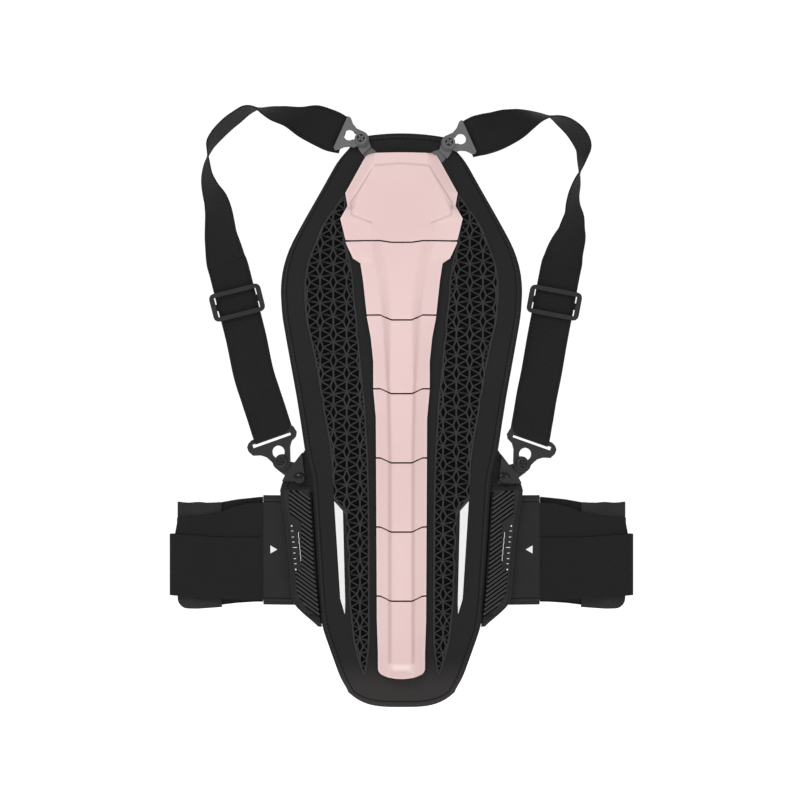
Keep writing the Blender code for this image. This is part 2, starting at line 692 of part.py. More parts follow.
# --- webbing ------------------------------------------------------------------------------------
def smooth_route(points, step=0.010):
    """Catmull-Rom curve through a route's points, sampled every step or so."""
    route = [Vector(p) for p in points]
    ends = [route[0] * 2 - route[1]] + route + [route[-1] * 2 - route[-2]]
    samples = []
    for p0, p1, p2, p3 in zip(ends, ends[1:], ends[2:], ends[3:]):
        pieces = max(1, round((p2.xyz - p1.xyz).length / step))
        for i in range(pieces):
            t = i / pieces
            samples.append(0.5 * (
                2 * p1 + (p2 - p0) * t + (2 * p0 - 5 * p1 + 4 * p2 - p3) * t ** 2
                + (3 * p1 - p0 - 3 * p2 + p3) * t ** 3))
    samples.append(route[-1])
    return samples


def webbing(points, side):
    """Flat strap along a route whose fourth number turns it about its own length."""
    samples = smooth_route(points)
    rings = []
    for i, sample in enumerate(samples):
        before, after = samples[max(i - 1, 0)].xyz, samples[min(i + 1, len(samples) - 1)].xyz
        tangent = (after - before).normalized()
        face = Vector((0.0, -1.0, 0.0))
        face = (face - tangent * face.dot(tangent)).normalized()
        across = Matrix.Rotation(math.radians(sample[3] * side), 3, tangent) @ tangent.cross(face)
        normal = tangent.cross(across)
        ring = []
        for u, v in ((-0.5, -0.5), (0.5, -0.5), (0.5, 0.5), (-0.5, 0.5)):
            ring.append(sample.xyz + across * (u * WEB_WIDTH) + normal * (v * WEB_THICK))
        rings.append(ring)
    bm = bmesh.new()
    bridge_rings(bm, rings)
    bmesh.ops.triangulate(bm, faces=bm.faces)
    return bm


def slider_frame(name):
    """Place of a slider on the straight stretch of webbing; its local +Z runs up the webbing."""
    low, high = Vector(MIDDLE_ROUTE[name][3]).xyz, Vector(MIDDLE_ROUTE[name][2]).xyz
    up = (high - low).normalized()
    centre = low + up * ((SLIDER_Z - low.z) / up.z)
    along = Vector((0.0, 1.0, 0.0)).cross(up).normalized()
    inward = up.cross(along)
    return Matrix.Translation(centre) @ Matrix((along, inward, up)).transposed().to_4x4()


def build_slider(name, material):
    """Frame in front of the webbing, joined by its sides to a middle bar behind it."""
    place = slider_frame(name)
    (width, height), (window_x, window_z) = SLIDER_SIZE, SLIDER_WINDOW
    reach = WEB_THICK / 2.0 + 0.0004  # clear space on each side of the webbing's middle
    front = -(reach + SLIDER_BAR / 2.0)
    frame = box_bmesh((width, SLIDER_BAR, height), (0.0, front, 0.0))
    corners = [edge for edge in frame.edges
               if abs(edge.verts[0].co.x - edge.verts[1].co.x) < 1e-6
               and abs(edge.verts[0].co.z - edge.verts[1].co.z) < 1e-6]
    bmesh.ops.bevel(
        frame, geom=corners, offset=0.005, segments=3, affect="EDGES", profile=0.5, material=-1)
    slider = add_object(f"strap_slider_{name}", frame, material, place)
    window = box_bmesh((window_x, 0.02, window_z), (0.0, 0.0, 0.0))
    boolean(slider, add_object(f"guide_slider_{name}_window", window, material, place), "DIFFERENCE")
    depth = 2.0 * (reach + SLIDER_BAR) - 0.0004
    post_width = (width - window_x) / 2.0 - 0.0006
    for sign in (-1.0, 1.0):
        post_x = sign * (window_x / 2.0 + post_width / 2.0 + 0.0003)
        post = box_bmesh((post_width, depth, 0.0060), (post_x, 0.0, 0.0))
        post = add_object(f"guide_slider_{name}_post_{sign:+.0f}", post, material, place)
        boolean(slider, post, "UNION")
    bar = box_bmesh((width - 0.003, SLIDER_BAR, 0.0064), (0.0, -front + 0.0001, 0.0))
    boolean(slider, add_object(f"guide_slider_{name}_bar", bar, material, place), "UNION")


def build_straps(materials):
    for name, side in SIDES:
        for label, routes in (("upper", UPPER_ROUTE), ("middle", MIDDLE_ROUTE), ("lower", LOWER_ROUTE)):
            strap = webbing(routes[name], -side)
            add_object(f"{label}_webbing_{name}", strap, materials["webbing"])
        build_slider(name, materials["black"])


def main():
    for obj in list(bpy.data.objects):
        bpy.data.objects.remove(obj, do_unlink=True)
    materials = {
        "shell": make_material("shell", (0.84, 0.61, 0.60), 0.38),
        "foam": make_material("backing_foam", (0.030, 0.030, 0.032), 0.85),
        "pad": make_material("comfort_pad", (0.045, 0.045, 0.048), 0.95),
        "carbon": make_material("wing_panel", (0.025, 0.025, 0.027), 0.45),
        "black": make_material("black_plastic", (0.022, 0.022, 0.024), 0.45),
        "grey": make_material("grey_plastic", (0.16, 0.16, 0.165), 0.50),
        "steel": make_material("pin_steel", (0.55, 0.55, 0.56), 0.30, 1.0),
        "tab": make_material("belt_tab", (0.040, 0.040, 0.042), 0.90),
        "elastic": make_material("belt_elastic", (0.016, 0.016, 0.017), 0.92),
        "webbing": make_material("webbing", (0.022, 0.022, 0.024), 0.90),
    }
    build_foam(materials)
    build_plates(materials)
    build_fittings(materials)
    build_belts(materials)
    build_straps(materials)


main()
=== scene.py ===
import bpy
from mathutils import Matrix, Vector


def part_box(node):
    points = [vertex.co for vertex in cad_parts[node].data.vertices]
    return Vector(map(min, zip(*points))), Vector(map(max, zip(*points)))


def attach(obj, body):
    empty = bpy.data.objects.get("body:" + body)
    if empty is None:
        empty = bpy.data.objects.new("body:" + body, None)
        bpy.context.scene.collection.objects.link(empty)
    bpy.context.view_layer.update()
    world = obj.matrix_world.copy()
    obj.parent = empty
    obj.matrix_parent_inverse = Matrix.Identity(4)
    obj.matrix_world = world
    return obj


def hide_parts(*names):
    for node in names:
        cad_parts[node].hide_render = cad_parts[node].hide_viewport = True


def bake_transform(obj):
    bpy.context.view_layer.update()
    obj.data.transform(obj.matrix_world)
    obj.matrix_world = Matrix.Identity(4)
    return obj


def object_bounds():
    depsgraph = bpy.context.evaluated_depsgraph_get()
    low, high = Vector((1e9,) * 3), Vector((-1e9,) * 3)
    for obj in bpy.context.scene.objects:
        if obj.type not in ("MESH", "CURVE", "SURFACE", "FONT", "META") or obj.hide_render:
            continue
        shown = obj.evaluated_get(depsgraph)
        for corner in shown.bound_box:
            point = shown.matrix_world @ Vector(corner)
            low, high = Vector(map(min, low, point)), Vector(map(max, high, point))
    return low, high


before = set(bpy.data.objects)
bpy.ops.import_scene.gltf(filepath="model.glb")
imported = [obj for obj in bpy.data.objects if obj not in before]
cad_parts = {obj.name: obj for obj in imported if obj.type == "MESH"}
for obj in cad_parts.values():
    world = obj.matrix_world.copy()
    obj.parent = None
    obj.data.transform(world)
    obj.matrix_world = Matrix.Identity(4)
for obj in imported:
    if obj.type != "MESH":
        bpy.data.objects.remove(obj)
cadBox = [list(corner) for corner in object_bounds()]

import math

import bmesh
import bpy
from mathutils import Matrix, Vector

# the curve of the wearer's back that every layer is bent to
back = {
    "wrapRadius": 0.60,
    "thoraxStart": 0.085, "thoraxRise": 0.016, "top": 0.3932,
    "sacrumStart": -0.075, "sacrumRise": 0.006, "bottom": -0.1474,
}
seams = (0.290, 0.219, 0.150, 0.085, 0.020, -0.045)  # heights of the hinge lines
splits = (0.252, 0.184, 0.118, 0.052, -0.0125)  # where one soft piece ends and the next begins
sides = (("left", -1.0), ("right", 1.0))
lyingDown = Matrix.Rotation(math.pi / 2, 4, "X")  # turns an upright disc to face along Y


def wrapOffset(x):
    return x * x / (2 * back["wrapRadius"])


def spineOffset(z):
    if z > back["thoraxStart"]:
        t = min((z - back["thoraxStart"]) / (back["top"] - back["thoraxStart"]), 1)
        return -back["thoraxRise"] * math.sin(math.pi * 0.86 * t) ** 2
    if z < back["sacrumStart"]:
        share = (back["sacrumStart"] - z) / (back["sacrumStart"] - back["bottom"])
        return -back["sacrumRise"] * share ** 2
    return 0.0


# bends what was laid out flat, with its height along -Y, round the back
def drape(bm):
    for v in bm.verts:
        v.co.y += wrapOffset(v.co.x) + spineOffset(v.co.z)


def within(value, low=0, high=1):
    return min(max(value, low), high)


# evens out 0 to 1 so that grid lines gather at both ends
def ease(share):
    return 0.5 + 0.5 * math.sin(math.pi * (share - 0.5))


def bell(distance, width, power=2):
    return math.exp(-(distance / width) ** power)


# value at a height, from rows that run from the top down
def readTable(table, z, column=1):
    if z >= table[0][0]:
        return table[0][column]
    for upper, lower in zip(table, table[1:]):
        if z >= lower[0]:
            share = (upper[0] - z) / (upper[0] - lower[0])
            return upper[column] + (lower[column] - upper[column]) * share
    return table[-1][column]


# a socket that takes part in plain arithmetic
class Wire:
    def __init__(self, paint, socket):
        self.paint = paint
        self.socket = socket

    def math(self, operation, *others):
        return self.paint.node("ShaderNodeMath", {"operation": operation}, dict(enumerate((self, *others)))).out(0)

    def __add__(self, other): return self.math("ADD", other)
    def __radd__(self, other): return self.math("ADD", other)
    def __sub__(self, other): return self.math("SUBTRACT", other)
    def __rsub__(self, other): return (self * -1.0) + other
    def __mul__(self, other): return self.math("MULTIPLY", other)
    def __rmul__(self, other): return self.math("MULTIPLY", other)

    def sin(self): return self.math("SINE")
    def wave(self): return self.sin() * 0.5 + 0.5
    def size(self): return self.math("ABSOLUTE")
    def above(self, limit): return self.math("GREATER_THAN", limit)
    def below(self, limit): return self.math("LESS_THAN", limit)

    # 0 at low, 1 at high, smooth between
    def fade(self, low, high):
        node = self.paint.node("ShaderNodeMapRange", {"interpolation_type": "SMOOTHSTEP"},
                               {"Value": self, "From Min": low, "From Max": high})
        return node.out("Result")


# one material, built up from nodes
class Paint:
    def __init__(self, name, roughness=0.5, metallic=0.0, specular=0.5):
        self.material = bpy.data.materials.new(name)
        self.material.use_nodes = True
        self.tree = self.material.node_tree
        self.shader = self.tree.nodes["Principled BSDF"]
        self.shader.inputs["Roughness"].default_value = roughness
        self.shader.inputs["Metallic"].default_value = metallic
        self.shader.inputs["Specular IOR Level"].default_value = specular

    def node(self, kind, settings=None, values=None):
        made = self.tree.nodes.new(kind)
        for key, value in (settings or {}).items():
            if key == "stops":
                ramp = made.color_ramp
                for i, (place, colour) in enumerate(value):
                    stop = ramp.elements[i] if i < len(ramp.elements) else ramp.elements.new(place)
                    stop.position = place
                    stop.color = (*colour, 1.0)
            else:
                setattr(made, key, value)
        for key, value in (values or {}).items():
            self.feed(made.inputs[key], value)
        return Made(self, made)

    def feed(self, socket, value):
        if isinstance(value, Wire):
            self.tree.links.new(value.socket, socket)
        elif isinstance(value, (tuple, list)) and len(value) == 3 and socket.type == "RGBA":
            socket.default_value = (*value, 1.0)
        else:
            socket.default_value = value

    # the two coordinates that a draped piece is laid out in
    def place(self):
        split = self.node("ShaderNodeSeparateXYZ", None, {0: self.node("ShaderNodeTexCoord").out("Object")})
        return split.out("X"), split.out("Z")

    # u and v of the piece's own map, in metres
    def along(self):
        split = self.node("ShaderNodeSeparateXYZ", None, {0: self.node("ShaderNodeTexCoord").out("UV")})
        return split.out("X"), split.out("Y")

    def attribute(self, name):
        return self.node("ShaderNodeAttribute", {"attribute_name": name}).out("Fac")

    def noise(self, scale, detail=2.0, rough=0.5):
        place = self.node("ShaderNodeTexCoord").out("Object")
        return self.node("ShaderNodeTexNoise", None,
                         {"Vector": place, "Scale": scale, "Detail": detail, "Roughness": rough}).out(0)

    def blend(self, share, one, two):
        node = self.node("ShaderNodeMix", {"data_type": "RGBA"}, {0: share, 6: one, 7: two})
        return node.out(2)

    def colour(self, value):
        self.feed(self.shader.inputs["Base Color"], value)

    def rough(self, value):
        self.feed(self.shader.inputs["Roughness"], value)

    def relief(self, height, distance, strength=1.0):
        bump = self.node("ShaderNodeBump", None, {"Height": height, "Distance": distance, "Strength": strength})
        self.feed(self.shader.inputs["Normal"], bump.out("Normal"))


class Made:
    def __init__(self, paint, node):
        self.paint = paint
        self.real = node

    def out(self, key):
        return Wire(self.paint, self.real.outputs[key])


print("materials")
tau = 2 * math.pi


# plain weave: threads of two directions pass over each other
def weaveHeight(x, z, pitch):
    across = (x * (tau / pitch)).sin()
    upwards = (z * (tau / pitch)).sin()
    return across * upwards * 0.5 + 0.5


def makeShell():
    # the darker colour is painted shade and the bright one painted highlight
    look = {"base": (0.715, 0.527, 0.516), "deep": (0.695, 0.505, 0.495), "line": (0.50, 0.345, 0.335),
            "bright": (0.83, 0.66, 0.645), "roughness": 0.34}
    paint = Paint("satinPinkShell", look["roughness"], specular=0.42)
    cloud = paint.noise(9.0, 3.0)
    tone = paint.blend(cloud.fade(0.35, 0.65), look["deep"], look["base"])
    # painted shade: the groove on the top plate and the bands beside the creases are darkened
    tone = paint.blend(paint.attribute("line"), tone, look["line"])
    # painted highlight: the plate rims and the step facing up at the bottom of the last plate are lightened
    paint.colour(paint.blend(paint.attribute("paintedHighlight"), tone, look["bright"]))
    paint.rough(paint.noise(60.0, 3.0) * 0.10 + (look["roughness"] - 0.05))
    paint.relief(paint.noise(900.0, 2.0), 0.00003, 0.5)
    paint.shader.inputs["Coat Weight"].default_value = 0.15
    paint.shader.inputs["Coat Roughness"].default_value = 0.2
    return paint.material


def makeBacking():
    look = {"base": (0.0098, 0.0094, 0.0096), "raised": (0.0172, 0.0166, 0.0169),
            "paintedLight": (0.0400, 0.0370, 0.0360), "groove": (0.0045, 0.0045, 0.0048), "thread": (0.028, 0.028, 0.029),
            "hem": 0.0052, "stitch": 0.0034, "stitchLength": 0.0034, "weave": 0.0016, "paintedLightSpan": (0.098, 0.134)}
    paint = Paint("backingKnit", 0.82, specular=0.14)
    x, z = paint.place()
    rim = paint.attribute("rim")
    weave = weaveHeight(x, z, look["weave"])
    cloud = paint.noise(14.0, 3.0)
    tone = paint.blend(weave * 0.6 + cloud * 0.4, look["base"], look["raised"])
    # painted light: the knit is made lighter towards the bottom
    tone = paint.blend((z * -1).fade(*look["paintedLightSpan"]) * 0.7, tone, look["paintedLight"])
    # painted shade: the hem groove is darkened in colour as well as sunk by the bump
    groove = 1 - (rim - look["hem"]).size().fade(0.0, 0.0009)
    dash = ((z + x * 0.7) * (tau / look["stitchLength"])).sin().above(-0.2)
    stitch = (rim - look["stitch"]).size().below(0.00042) * dash
    tone = paint.blend(groove, tone, look["groove"])
    paint.colour(paint.blend(stitch, tone, look["thread"]))
    paint.rough(weave * 0.12 + 0.70)
    paint.relief(weave * 0.25 + stitch * 0.5 - groove * 1.2, 0.0005, 0.7)
    return paint.material


# dark mesh of the windows, also laid between the wing ridges as painted shade
def makeHoles():
    look = {"hole": (0.0010, 0.0010, 0.0011), "yarn": (0.0046, 0.0046, 0.0048), "knit": 0.0011}
    paint = Paint("darkMeshAndGrooveShade", 0.95, specular=0.04)
    x, z = paint.place()
    knit = weaveHeight(x + z * 0.5, z - x * 0.5, look["knit"])
    paint.colour(paint.blend(knit, look["hole"], look["yarn"]))
    paint.relief(knit, 0.0002, 0.6)
    return paint.material


def makeRibs():
    look = {"dark": (0.0200, 0.0195, 0.0198), "light": (0.0310, 0.0303, 0.0308)}
    paint = Paint("latticeRubber", 0.6, specular=0.25)
    paint.colour(paint.blend(paint.noise(40.0, 2.0), look["dark"], look["light"]))
    paint.rough(paint.noise(300.0, 2.0) * 0.2 + 0.46)
    paint.relief(paint.noise(1500.0, 2.0), 0.00004, 0.6)
    return paint.material


def makeWebbing():
    look = {"base": (0.0056, 0.0056, 0.0059), "thread": (0.0165, 0.0165, 0.0172), "edge": (0.006, 0.006, 0.0065),
            "halfWidth": 0.019, "edgeInset": 0.0026, "rib": 0.0014, "warp": 0.0012, "twill": 0.0028}
    paint = Paint("strapWebbing", 0.85, specular=0.13)
    u, v = paint.along()
    ribs, warp = (v * (tau / look["rib"])).wave(), (u * (tau / look["warp"])).wave()
    twill = ((u * 0.9 + v) * (tau / look["twill"])).wave()
    edge = (u.size() - (look["halfWidth"] - look["edgeInset"])).size().below(0.00045)
    height = ribs * 0.5 + warp * 0.25 + twill * 0.25
    wear = paint.noise(55.0, 3.0)
    tone = paint.blend(height * 0.75 + wear * 0.25, look["base"], look["thread"])
    paint.colour(paint.blend(edge * 0.6, tone, look["edge"]))
    paint.rough(height * 0.12 + 0.72)
    paint.relief(height - edge * 0.8, 0.00035, 0.8)
    return paint.material


def makeElastic():
    look = {"base": (0.0055, 0.0055, 0.006), "thread": (0.0165, 0.0165, 0.0175), "rib": 0.0017, "pick": 0.0011}
    paint = Paint("beltElastic", 0.86, specular=0.15)
    x, z = paint.place()
    ribs, picks = (z * (tau / look["rib"])).wave(), (x * (tau / look["pick"])).wave()
    cloud = paint.noise(18.0, 3.0)
    paint.colour(paint.blend(ribs * 0.5 + picks * 0.2 + cloud * 0.3, look["base"], look["thread"]))
    paint.rough(ribs * 0.1 + 0.8)
    paint.relief(ribs * 0.8 + picks * 0.3, 0.0003, 0.8)
    return paint.material


def makeFleece():
    look = {"dark": (0.012, 0.012, 0.0125), "light": (0.040, 0.040, 0.043)}
    paint = Paint("closureFleece", 0.95, specular=0.12)
    fluff = paint.noise(420.0, 4.0, 0.7)
    cloud = paint.noise(30.0, 3.0)
    paint.colour(paint.blend(fluff * 0.6 + cloud * 0.4, look["dark"], look["light"]))
    paint.relief(fluff, 0.0008, 0.9)
    return paint.material


def makeTab():
    look = {"base": (0.0120, 0.0120, 0.0127), "raised": (0.0265, 0.0265, 0.028), "fold": (0.006, 0.006, 0.0065),
            "thread": (0.045, 0.045, 0.048), "loop": 0.0021, "hem": 0.0062, "stitch": 0.0045, "stitchLength": 0.0032}
    paint = Paint("tabFabric", 0.85, specular=0.16)
    x, z = paint.place()
    rim = paint.attribute("rim")
    loops = weaveHeight(x + z, z - x, look["loop"])
    tone = paint.blend(loops * 0.6 + paint.noise(60.0, 3.0) * 0.4, look["base"], look["raised"])
    # painted shade: the hem fold is darkened in colour as well as sunk by the bump
    fold = 1 - (rim - look["hem"]).size().fade(0.0, 0.0008)
    dash = ((x + z) * (tau / look["stitchLength"])).sin().above(-0.3)
    stitch = (rim - look["stitch"]).size().below(0.0004) * dash
    paint.colour(paint.blend(stitch, paint.blend(fold, tone, look["fold"]), look["thread"]))
    paint.relief(loops * 0.4 + stitch - fold * 1.5, 0.0005, 0.8)
    return paint.material


def makePlastic(name, dark, light, roughness, specular=0.4):
    paint = Paint(name, roughness, specular=specular)
    grain = paint.noise(700.0, 3.0, 0.6)
    paint.colour(paint.blend(paint.noise(80.0, 3.0), dark, light))
    paint.rough(grain * 0.18 + (roughness - 0.09))
    paint.relief(grain, 0.00007, 0.6)
    return paint.material


def makeSteel():
    look = {"dark": (0.46, 0.46, 0.47), "light": (0.62, 0.62, 0.63)}
    paint = Paint("pinSteel", 0.3, 1.0)
    x, z = paint.place()
    drawn = paint.noise(500.0, 2.0)
    paint.colour(paint.blend(drawn, look["dark"], look["light"]))
    paint.rough(drawn * 0.2 + 0.2)
    paint.relief((x * (tau / 0.0004)).sin(), 0.00001, 0.4)
    return paint.material


def makeRidge():
    look = {"dark": (0.012, 0.012, 0.0127), "light": (0.036, 0.036, 0.0375), "pitch": 0.0016}
    paint = Paint("ridgeRubber", 0.5, specular=0.35)
    x, z = paint.place()
    cross = ((z + x.size() * 1.4) * (tau / look["pitch"])).wave()
    wear = paint.noise(160.0, 3.0)
    paint.colour(paint.blend(cross * 0.6 + wear * 0.4, look["dark"], look["light"]))
    paint.rough(wear * 0.2 + 0.46)
    paint.relief(cross * 0.5 + wear * 0.4, 0.0002, 0.8)
    return paint.material


def makePrint(name, colour):
    paint = Paint(name, 0.45, specular=0.4)
    paint.colour(paint.blend(paint.noise(120.0, 2.0), tuple(c * 0.93 for c in colour), colour))
    paint.relief(paint.noise(900.0, 2.0), 0.00003, 0.5)
    return paint.material


def makePad():
    look = {"raised": (0.040, 0.040, 0.043), "hole": (0.007, 0.007, 0.0075), "dust": (0.020, 0.020, 0.022),
            "cell": 0.0034}
    paint = Paint("spacerMesh", 0.92, specular=0.15)
    x, z = paint.place()
    turns = tau / look["cell"]
    hole = ((x * turns).sin() * (z * turns).sin()).size().fade(0.35, 0.75)
    fine = paint.noise(500.0, 3.0)
    paint.colour(paint.blend(fine * 0.35, paint.blend(hole, look["raised"], look["hole"]), look["dust"]))
    paint.relief(fine * 0.2 - hole, 0.0008, 0.8)
    return paint.material


finish = {
    "shell": makeShell(),
    "backing": makeBacking(),
    "meshAndGrooveShade": makeHoles(),
    "ribs": makeRibs(),
    "webbing": makeWebbing(),
    "elastic": makeElastic(),
    "fleece": makeFleece(),
    "tab": makeTab(),
    "black": makePlastic("blackPlastic", (0.0095, 0.0095, 0.0102), (0.0185, 0.0185, 0.0197), 0.42, 0.3),
    "grey": makePlastic("greyPlastic", (0.092, 0.092, 0.096), (0.128, 0.128, 0.133), 0.5),
    "steel": makeSteel(),
    "panel": makePlastic("panelRubber", (0.0105, 0.0105, 0.011), (0.0185, 0.0185, 0.0195), 0.6, 0.2),
    "gloss": makePlastic("glossPlastic", (0.0035, 0.0035, 0.0037), (0.0062, 0.0062, 0.0066), 0.22, 0.3),
    "recess": makePlastic("recessPlastic", (0.0035, 0.0035, 0.0037), (0.008, 0.008, 0.0084), 0.6, 0.2),
    "ridge": makeRidge(),
    "print": makePrint("palePrint", (0.78, 0.77, 0.76)),
    "pad": makePad(),
}


# merges and turns the mesh outwards, then makes it an object with its finish
def newPiece(name, bm, material, sharp=None, keepNormals=False):
    if not keepNormals:
        bmesh.ops.remove_doubles(bm, verts=bm.verts, dist=1e-6)
        bmesh.ops.recalc_face_normals(bm, faces=bm.faces)
    mesh = bpy.data.meshes.new(name)
    bm.to_mesh(mesh)
    bm.free()
    if sharp is not None:
        mesh.shade_smooth()
        mesh.set_sharp_from_angle(angle=math.radians(sharp))
    mesh.materials.append(material)
    piece = bpy.data.objects.new(name, mesh)
    bpy.context.scene.collection.objects.link(piece)
    return piece


# turns live modifiers into mesh
def bakeModifiers(piece):
    depsgraph = bpy.context.evaluated_depsgraph_get()
    mesh = bpy.data.meshes.new_from_object(piece.evaluated_get(depsgraph))
    piece.modifiers.clear()
    piece.data = mesh


# one sheet of a grid; place turns u and v from 0 to 1 into a point
def gridSheet(bm, columns, rows, place):
    made = bmesh.ops.create_grid(bm, x_segments=columns, y_segments=rows, size=0.5)["verts"]
    for v in made:
        v.co = Vector(place(v.co.x + 0.5, v.co.y + 0.5))
    return made


# two grid sheets joined all round; rim gives the distance to the hem at a flat point
def slab(columns, rows, front, rear, rim=None):
    bm = bmesh.new()
    gridSheet(bm, columns, rows, front)
    gridSheet(bm, columns, rows, rear)
    border = [e for e in bm.edges if e.is_boundary]
    bmesh.ops.bridge_loops(bm, edges=border)
    if rim:
        layer = bm.verts.layers.float.new("rim")
        for v in bm.verts:
            v[layer] = rim(v.co.x, v.co.z)
    return bm


# a soft layer: spread places its outer face at the second level and its inner face at the first
def makeLayer(name, columns, rows, levels, spread, rim, look):
    bm = slab(columns, rows, lambda u, v: spread(u, v, levels[1], 1), lambda u, v: spread(u, v, levels[0], -1), rim)
    drape(bm)
    return newPiece(name, bm, finish[look], 60)


def fasten(piece, body, slot):
    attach(piece, body)


# points the faces of an open sheet to the outer side, which is -Y, or with -1 to the wearer's
def faceOutwards(bm, way=1):
    bmesh.ops.recalc_face_normals(bm, faces=bm.faces)
    if sum(f.normal.y * f.calc_area() for f in bm.faces) * way > 0:
        bmesh.ops.reverse_faces(bm, faces=bm.faces)
    bm.normal_update()


def onlyVerts(geometry):
    return [g for g in geometry if isinstance(g, bmesh.types.BMVert)]


# how far a face falls back near its hem
def roundOff(inset, radius, depth):
    if inset >= radius:
        return 0.0
    share = 1 - max(inset, 0.0) / radius
    return depth * (1 - math.sqrt(max(0.0, 1 - share * share)))


# padded backing: six pieces, each lying across one hinge line
backing = {
    "heights": (0.0103, 0.0184), "round": 0.0042, "columns": 36, "rowStep": 0.0052,
    "topArch": 0.0042, "bottom": -0.1474, "bottomArch": 0.0132, "bottomHalf": 0.0496, "bend": 0.014,
    "roundDepth": 0.0036, "topHalf": 0.0435,
    "edge": (
        (0.3902, 0.0435), (0.3723, 0.0595), (0.3421, 0.0756), (0.3119, 0.0921), (0.2892, 0.1040),
        (0.2741, 0.1096), (0.2589, 0.1129), (0.2438, 0.1139), (0.2211, 0.1125), (0.1909, 0.1073),
        (0.1455, 0.0992), (0.1153, 0.0945), (0.0926, 0.0912), (0.0690, 0.0855), (0.0095, 0.0817),
        (-0.0558, 0.0775), (-0.0737, 0.0747), (-0.0964, 0.0666), (-0.1191, 0.0583), (-0.1266, 0.0543),
        (-0.1342, 0.0487),
    ),
}


# half width of the backing, with its corners eased
def backingHalf(z):
    return sum(readTable(backing["edge"], z + step) for step in (-0.006, -0.003, 0.0, 0.003, 0.006)) / 5


def backingTop(x):
    return back["top"] - backing["topArch"] * min((x / backing["topHalf"]) ** 2, 1.3)


def backingBottom(x):
    return backing["bottom"] + backing["bottomArch"] * min(abs(x) / backing["bottomHalf"], 1.0) ** 3.5


def backingRim(x, z):
    # a flat measure is a little longer than the distance to a slanting edge
    return min((backingHalf(z) - abs(x)) * 0.93, (backingTop(x) - z) * 0.97, (z - backingBottom(x)) * 0.95)


# number of the soft piece that covers a height, from 1 at the top
def segmentAt(z):
    return 1 + sum(z < split for split in splits)


def bendAcross(piece, number):
    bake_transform(piece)


def makeBackingPiece(number):
    low = backing["bottom"] + backing["bottomArch"] if number == 6 else splits[number - 1]
    high = back["top"] if number == 1 else splits[number - 2]
    rows = round((high - low) / backing["rowStep"])

    def spread(u, v, height, sign):
        across = math.sin(math.pi * (u - 0.5))
        share = v
        if number == 1:
            share = math.sin(v * math.pi / 2)
        if number == 6:
            share = 1 - math.cos(v * math.pi / 2)
        z = low + (high - low) * share
        x = across * backingHalf(z)
        if number == 1:
            z = low + (backingTop(x) - low) * share
        if number == 6:
            z = backingBottom(x) + (high - backingBottom(x)) * share
        fall = roundOff(backingRim(x, z), backing["round"], backing["roundDepth"])
        return x, -(height - sign * fall), z

    piece = makeLayer(f"backing_{number}", backing["columns"], rows, backing["heights"], spread, backingRim, "backing")
    bendAcross(piece, number)
    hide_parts(f"back_panel_{number}")
    if number == 6:
        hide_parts("back_panel_7")


print("backing")
for number in range(1, 7):
    makeBackingPiece(number)


# lattice over the mesh windows
lattice = {
    "column": 0.01243, "firstColumn": 0.0516, "row": 0.012235, "eyeHeight": 0.2402,
    "eyeHalf": 0.0074, "straightHalf": 0.00487, "waist": 0.0031,
    "mainWidth": 0.0020, "thinWidth": 0.0015, "dot": 0.0011, "smallest": 1.6e-6, "shortest": 0.0008,
    "meshSink": 0.0004, "meshRise": 0.0006, "ribLift": 0.0001, "dotLift": 0.0010,
    "window": (  # height, outer half width, inner half width
        (0.3330, 0.0545, 0.0530), (0.3166, 0.0665, 0.0535), (0.3024, 0.0755, 0.0553),
        (0.2863, 0.0815, 0.0520), (0.2722, 0.0872, 0.0487), (0.2552, 0.0905, 0.0458),
        (0.2363, 0.0905, 0.0449), (0.2174, 0.0890, 0.0425), (0.1937, 0.0835, 0.0406),
        (0.1701, 0.0787, 0.0383), (0.1418, 0.0745, 0.0354), (0.1040, 0.0675, 0.0331),
        (0.0851, 0.0652, 0.0321), (0.0480, 0.0636, 0.0312), (0.0360, 0.0517, 0.0310),
        (-0.0473, 0.0487, 0.0307), (-0.0851, 0.0446, 0.0307), (-0.1040, 0.0400, 0.0325),
        (-0.1165, 0.0362, 0.0340),
    ),
}


# the nearest place inside the window at the same height
def intoWindow(point):
    table = lattice["window"]
    z = min(max(point[1], table[-1][0]), table[0][0])
    return min(max(point[0], readTable(table, z, 2)), readTable(table, z, 1)), z


# triangular openings of the lattice on one side, and the ribs round them
def latticeCells():
    openings, ribs, dots = [], {}, []

    def addRib(p, q, width):
        if (Vector(p) - Vector(q)).length < lattice["shortest"]:
            return
        key = tuple(sorted((tuple(round(c, 5) for c in p), tuple(round(c, 5) for c in q))))
        ribs[key] = max(width, ribs.get(key, 0))

    main, thin = lattice["mainWidth"], lattice["thinWidth"]
    for column in range(-2, 4):
        for row in range(-8, 32):
            zc = lattice["eyeHeight"] - row * lattice["row"]
            left = lattice["firstColumn"] + column * lattice["column"]
            right = left + lattice["column"]
            eye, straight = (left, right) if (column + row) % 2 == 0 else (right, left)
            toward = 1 if straight > eye else -1
            waist = (eye + toward * lattice["waist"], zc)
            eyeTop, eyeLow = (eye, zc + lattice["eyeHalf"]), (eye, zc - lattice["eyeHalf"])
            top, low = (straight, zc + lattice["straightHalf"]), (straight, zc - lattice["straightHalf"])
            shapes = (
                ((eyeTop, waist, top), (main, thin, main)),
                ((waist, top, low), (thin, main, thin)),
                ((eyeLow, waist, low), (main, thin, main)),
                ((eyeTop, waist, eyeLow), (main, main, 0)),
            )
            for corners, widths in shapes:
                held = [intoWindow(c) for c in corners]
                (ax, az), (bx, bz), (cx, cz) = held
                if abs((bx - ax) * (cz - az) - (cx - ax) * (bz - az)) / 2 < lattice["smallest"]:
                    continue
                openings.append(held)
                for i in range(3):
                    if widths[i]:
                        addRib(held[i], held[(i + 1) % 3], widths[i])
            if intoWindow(waist) == waist:
                dots.append(waist)
    return openings, ribs, dots


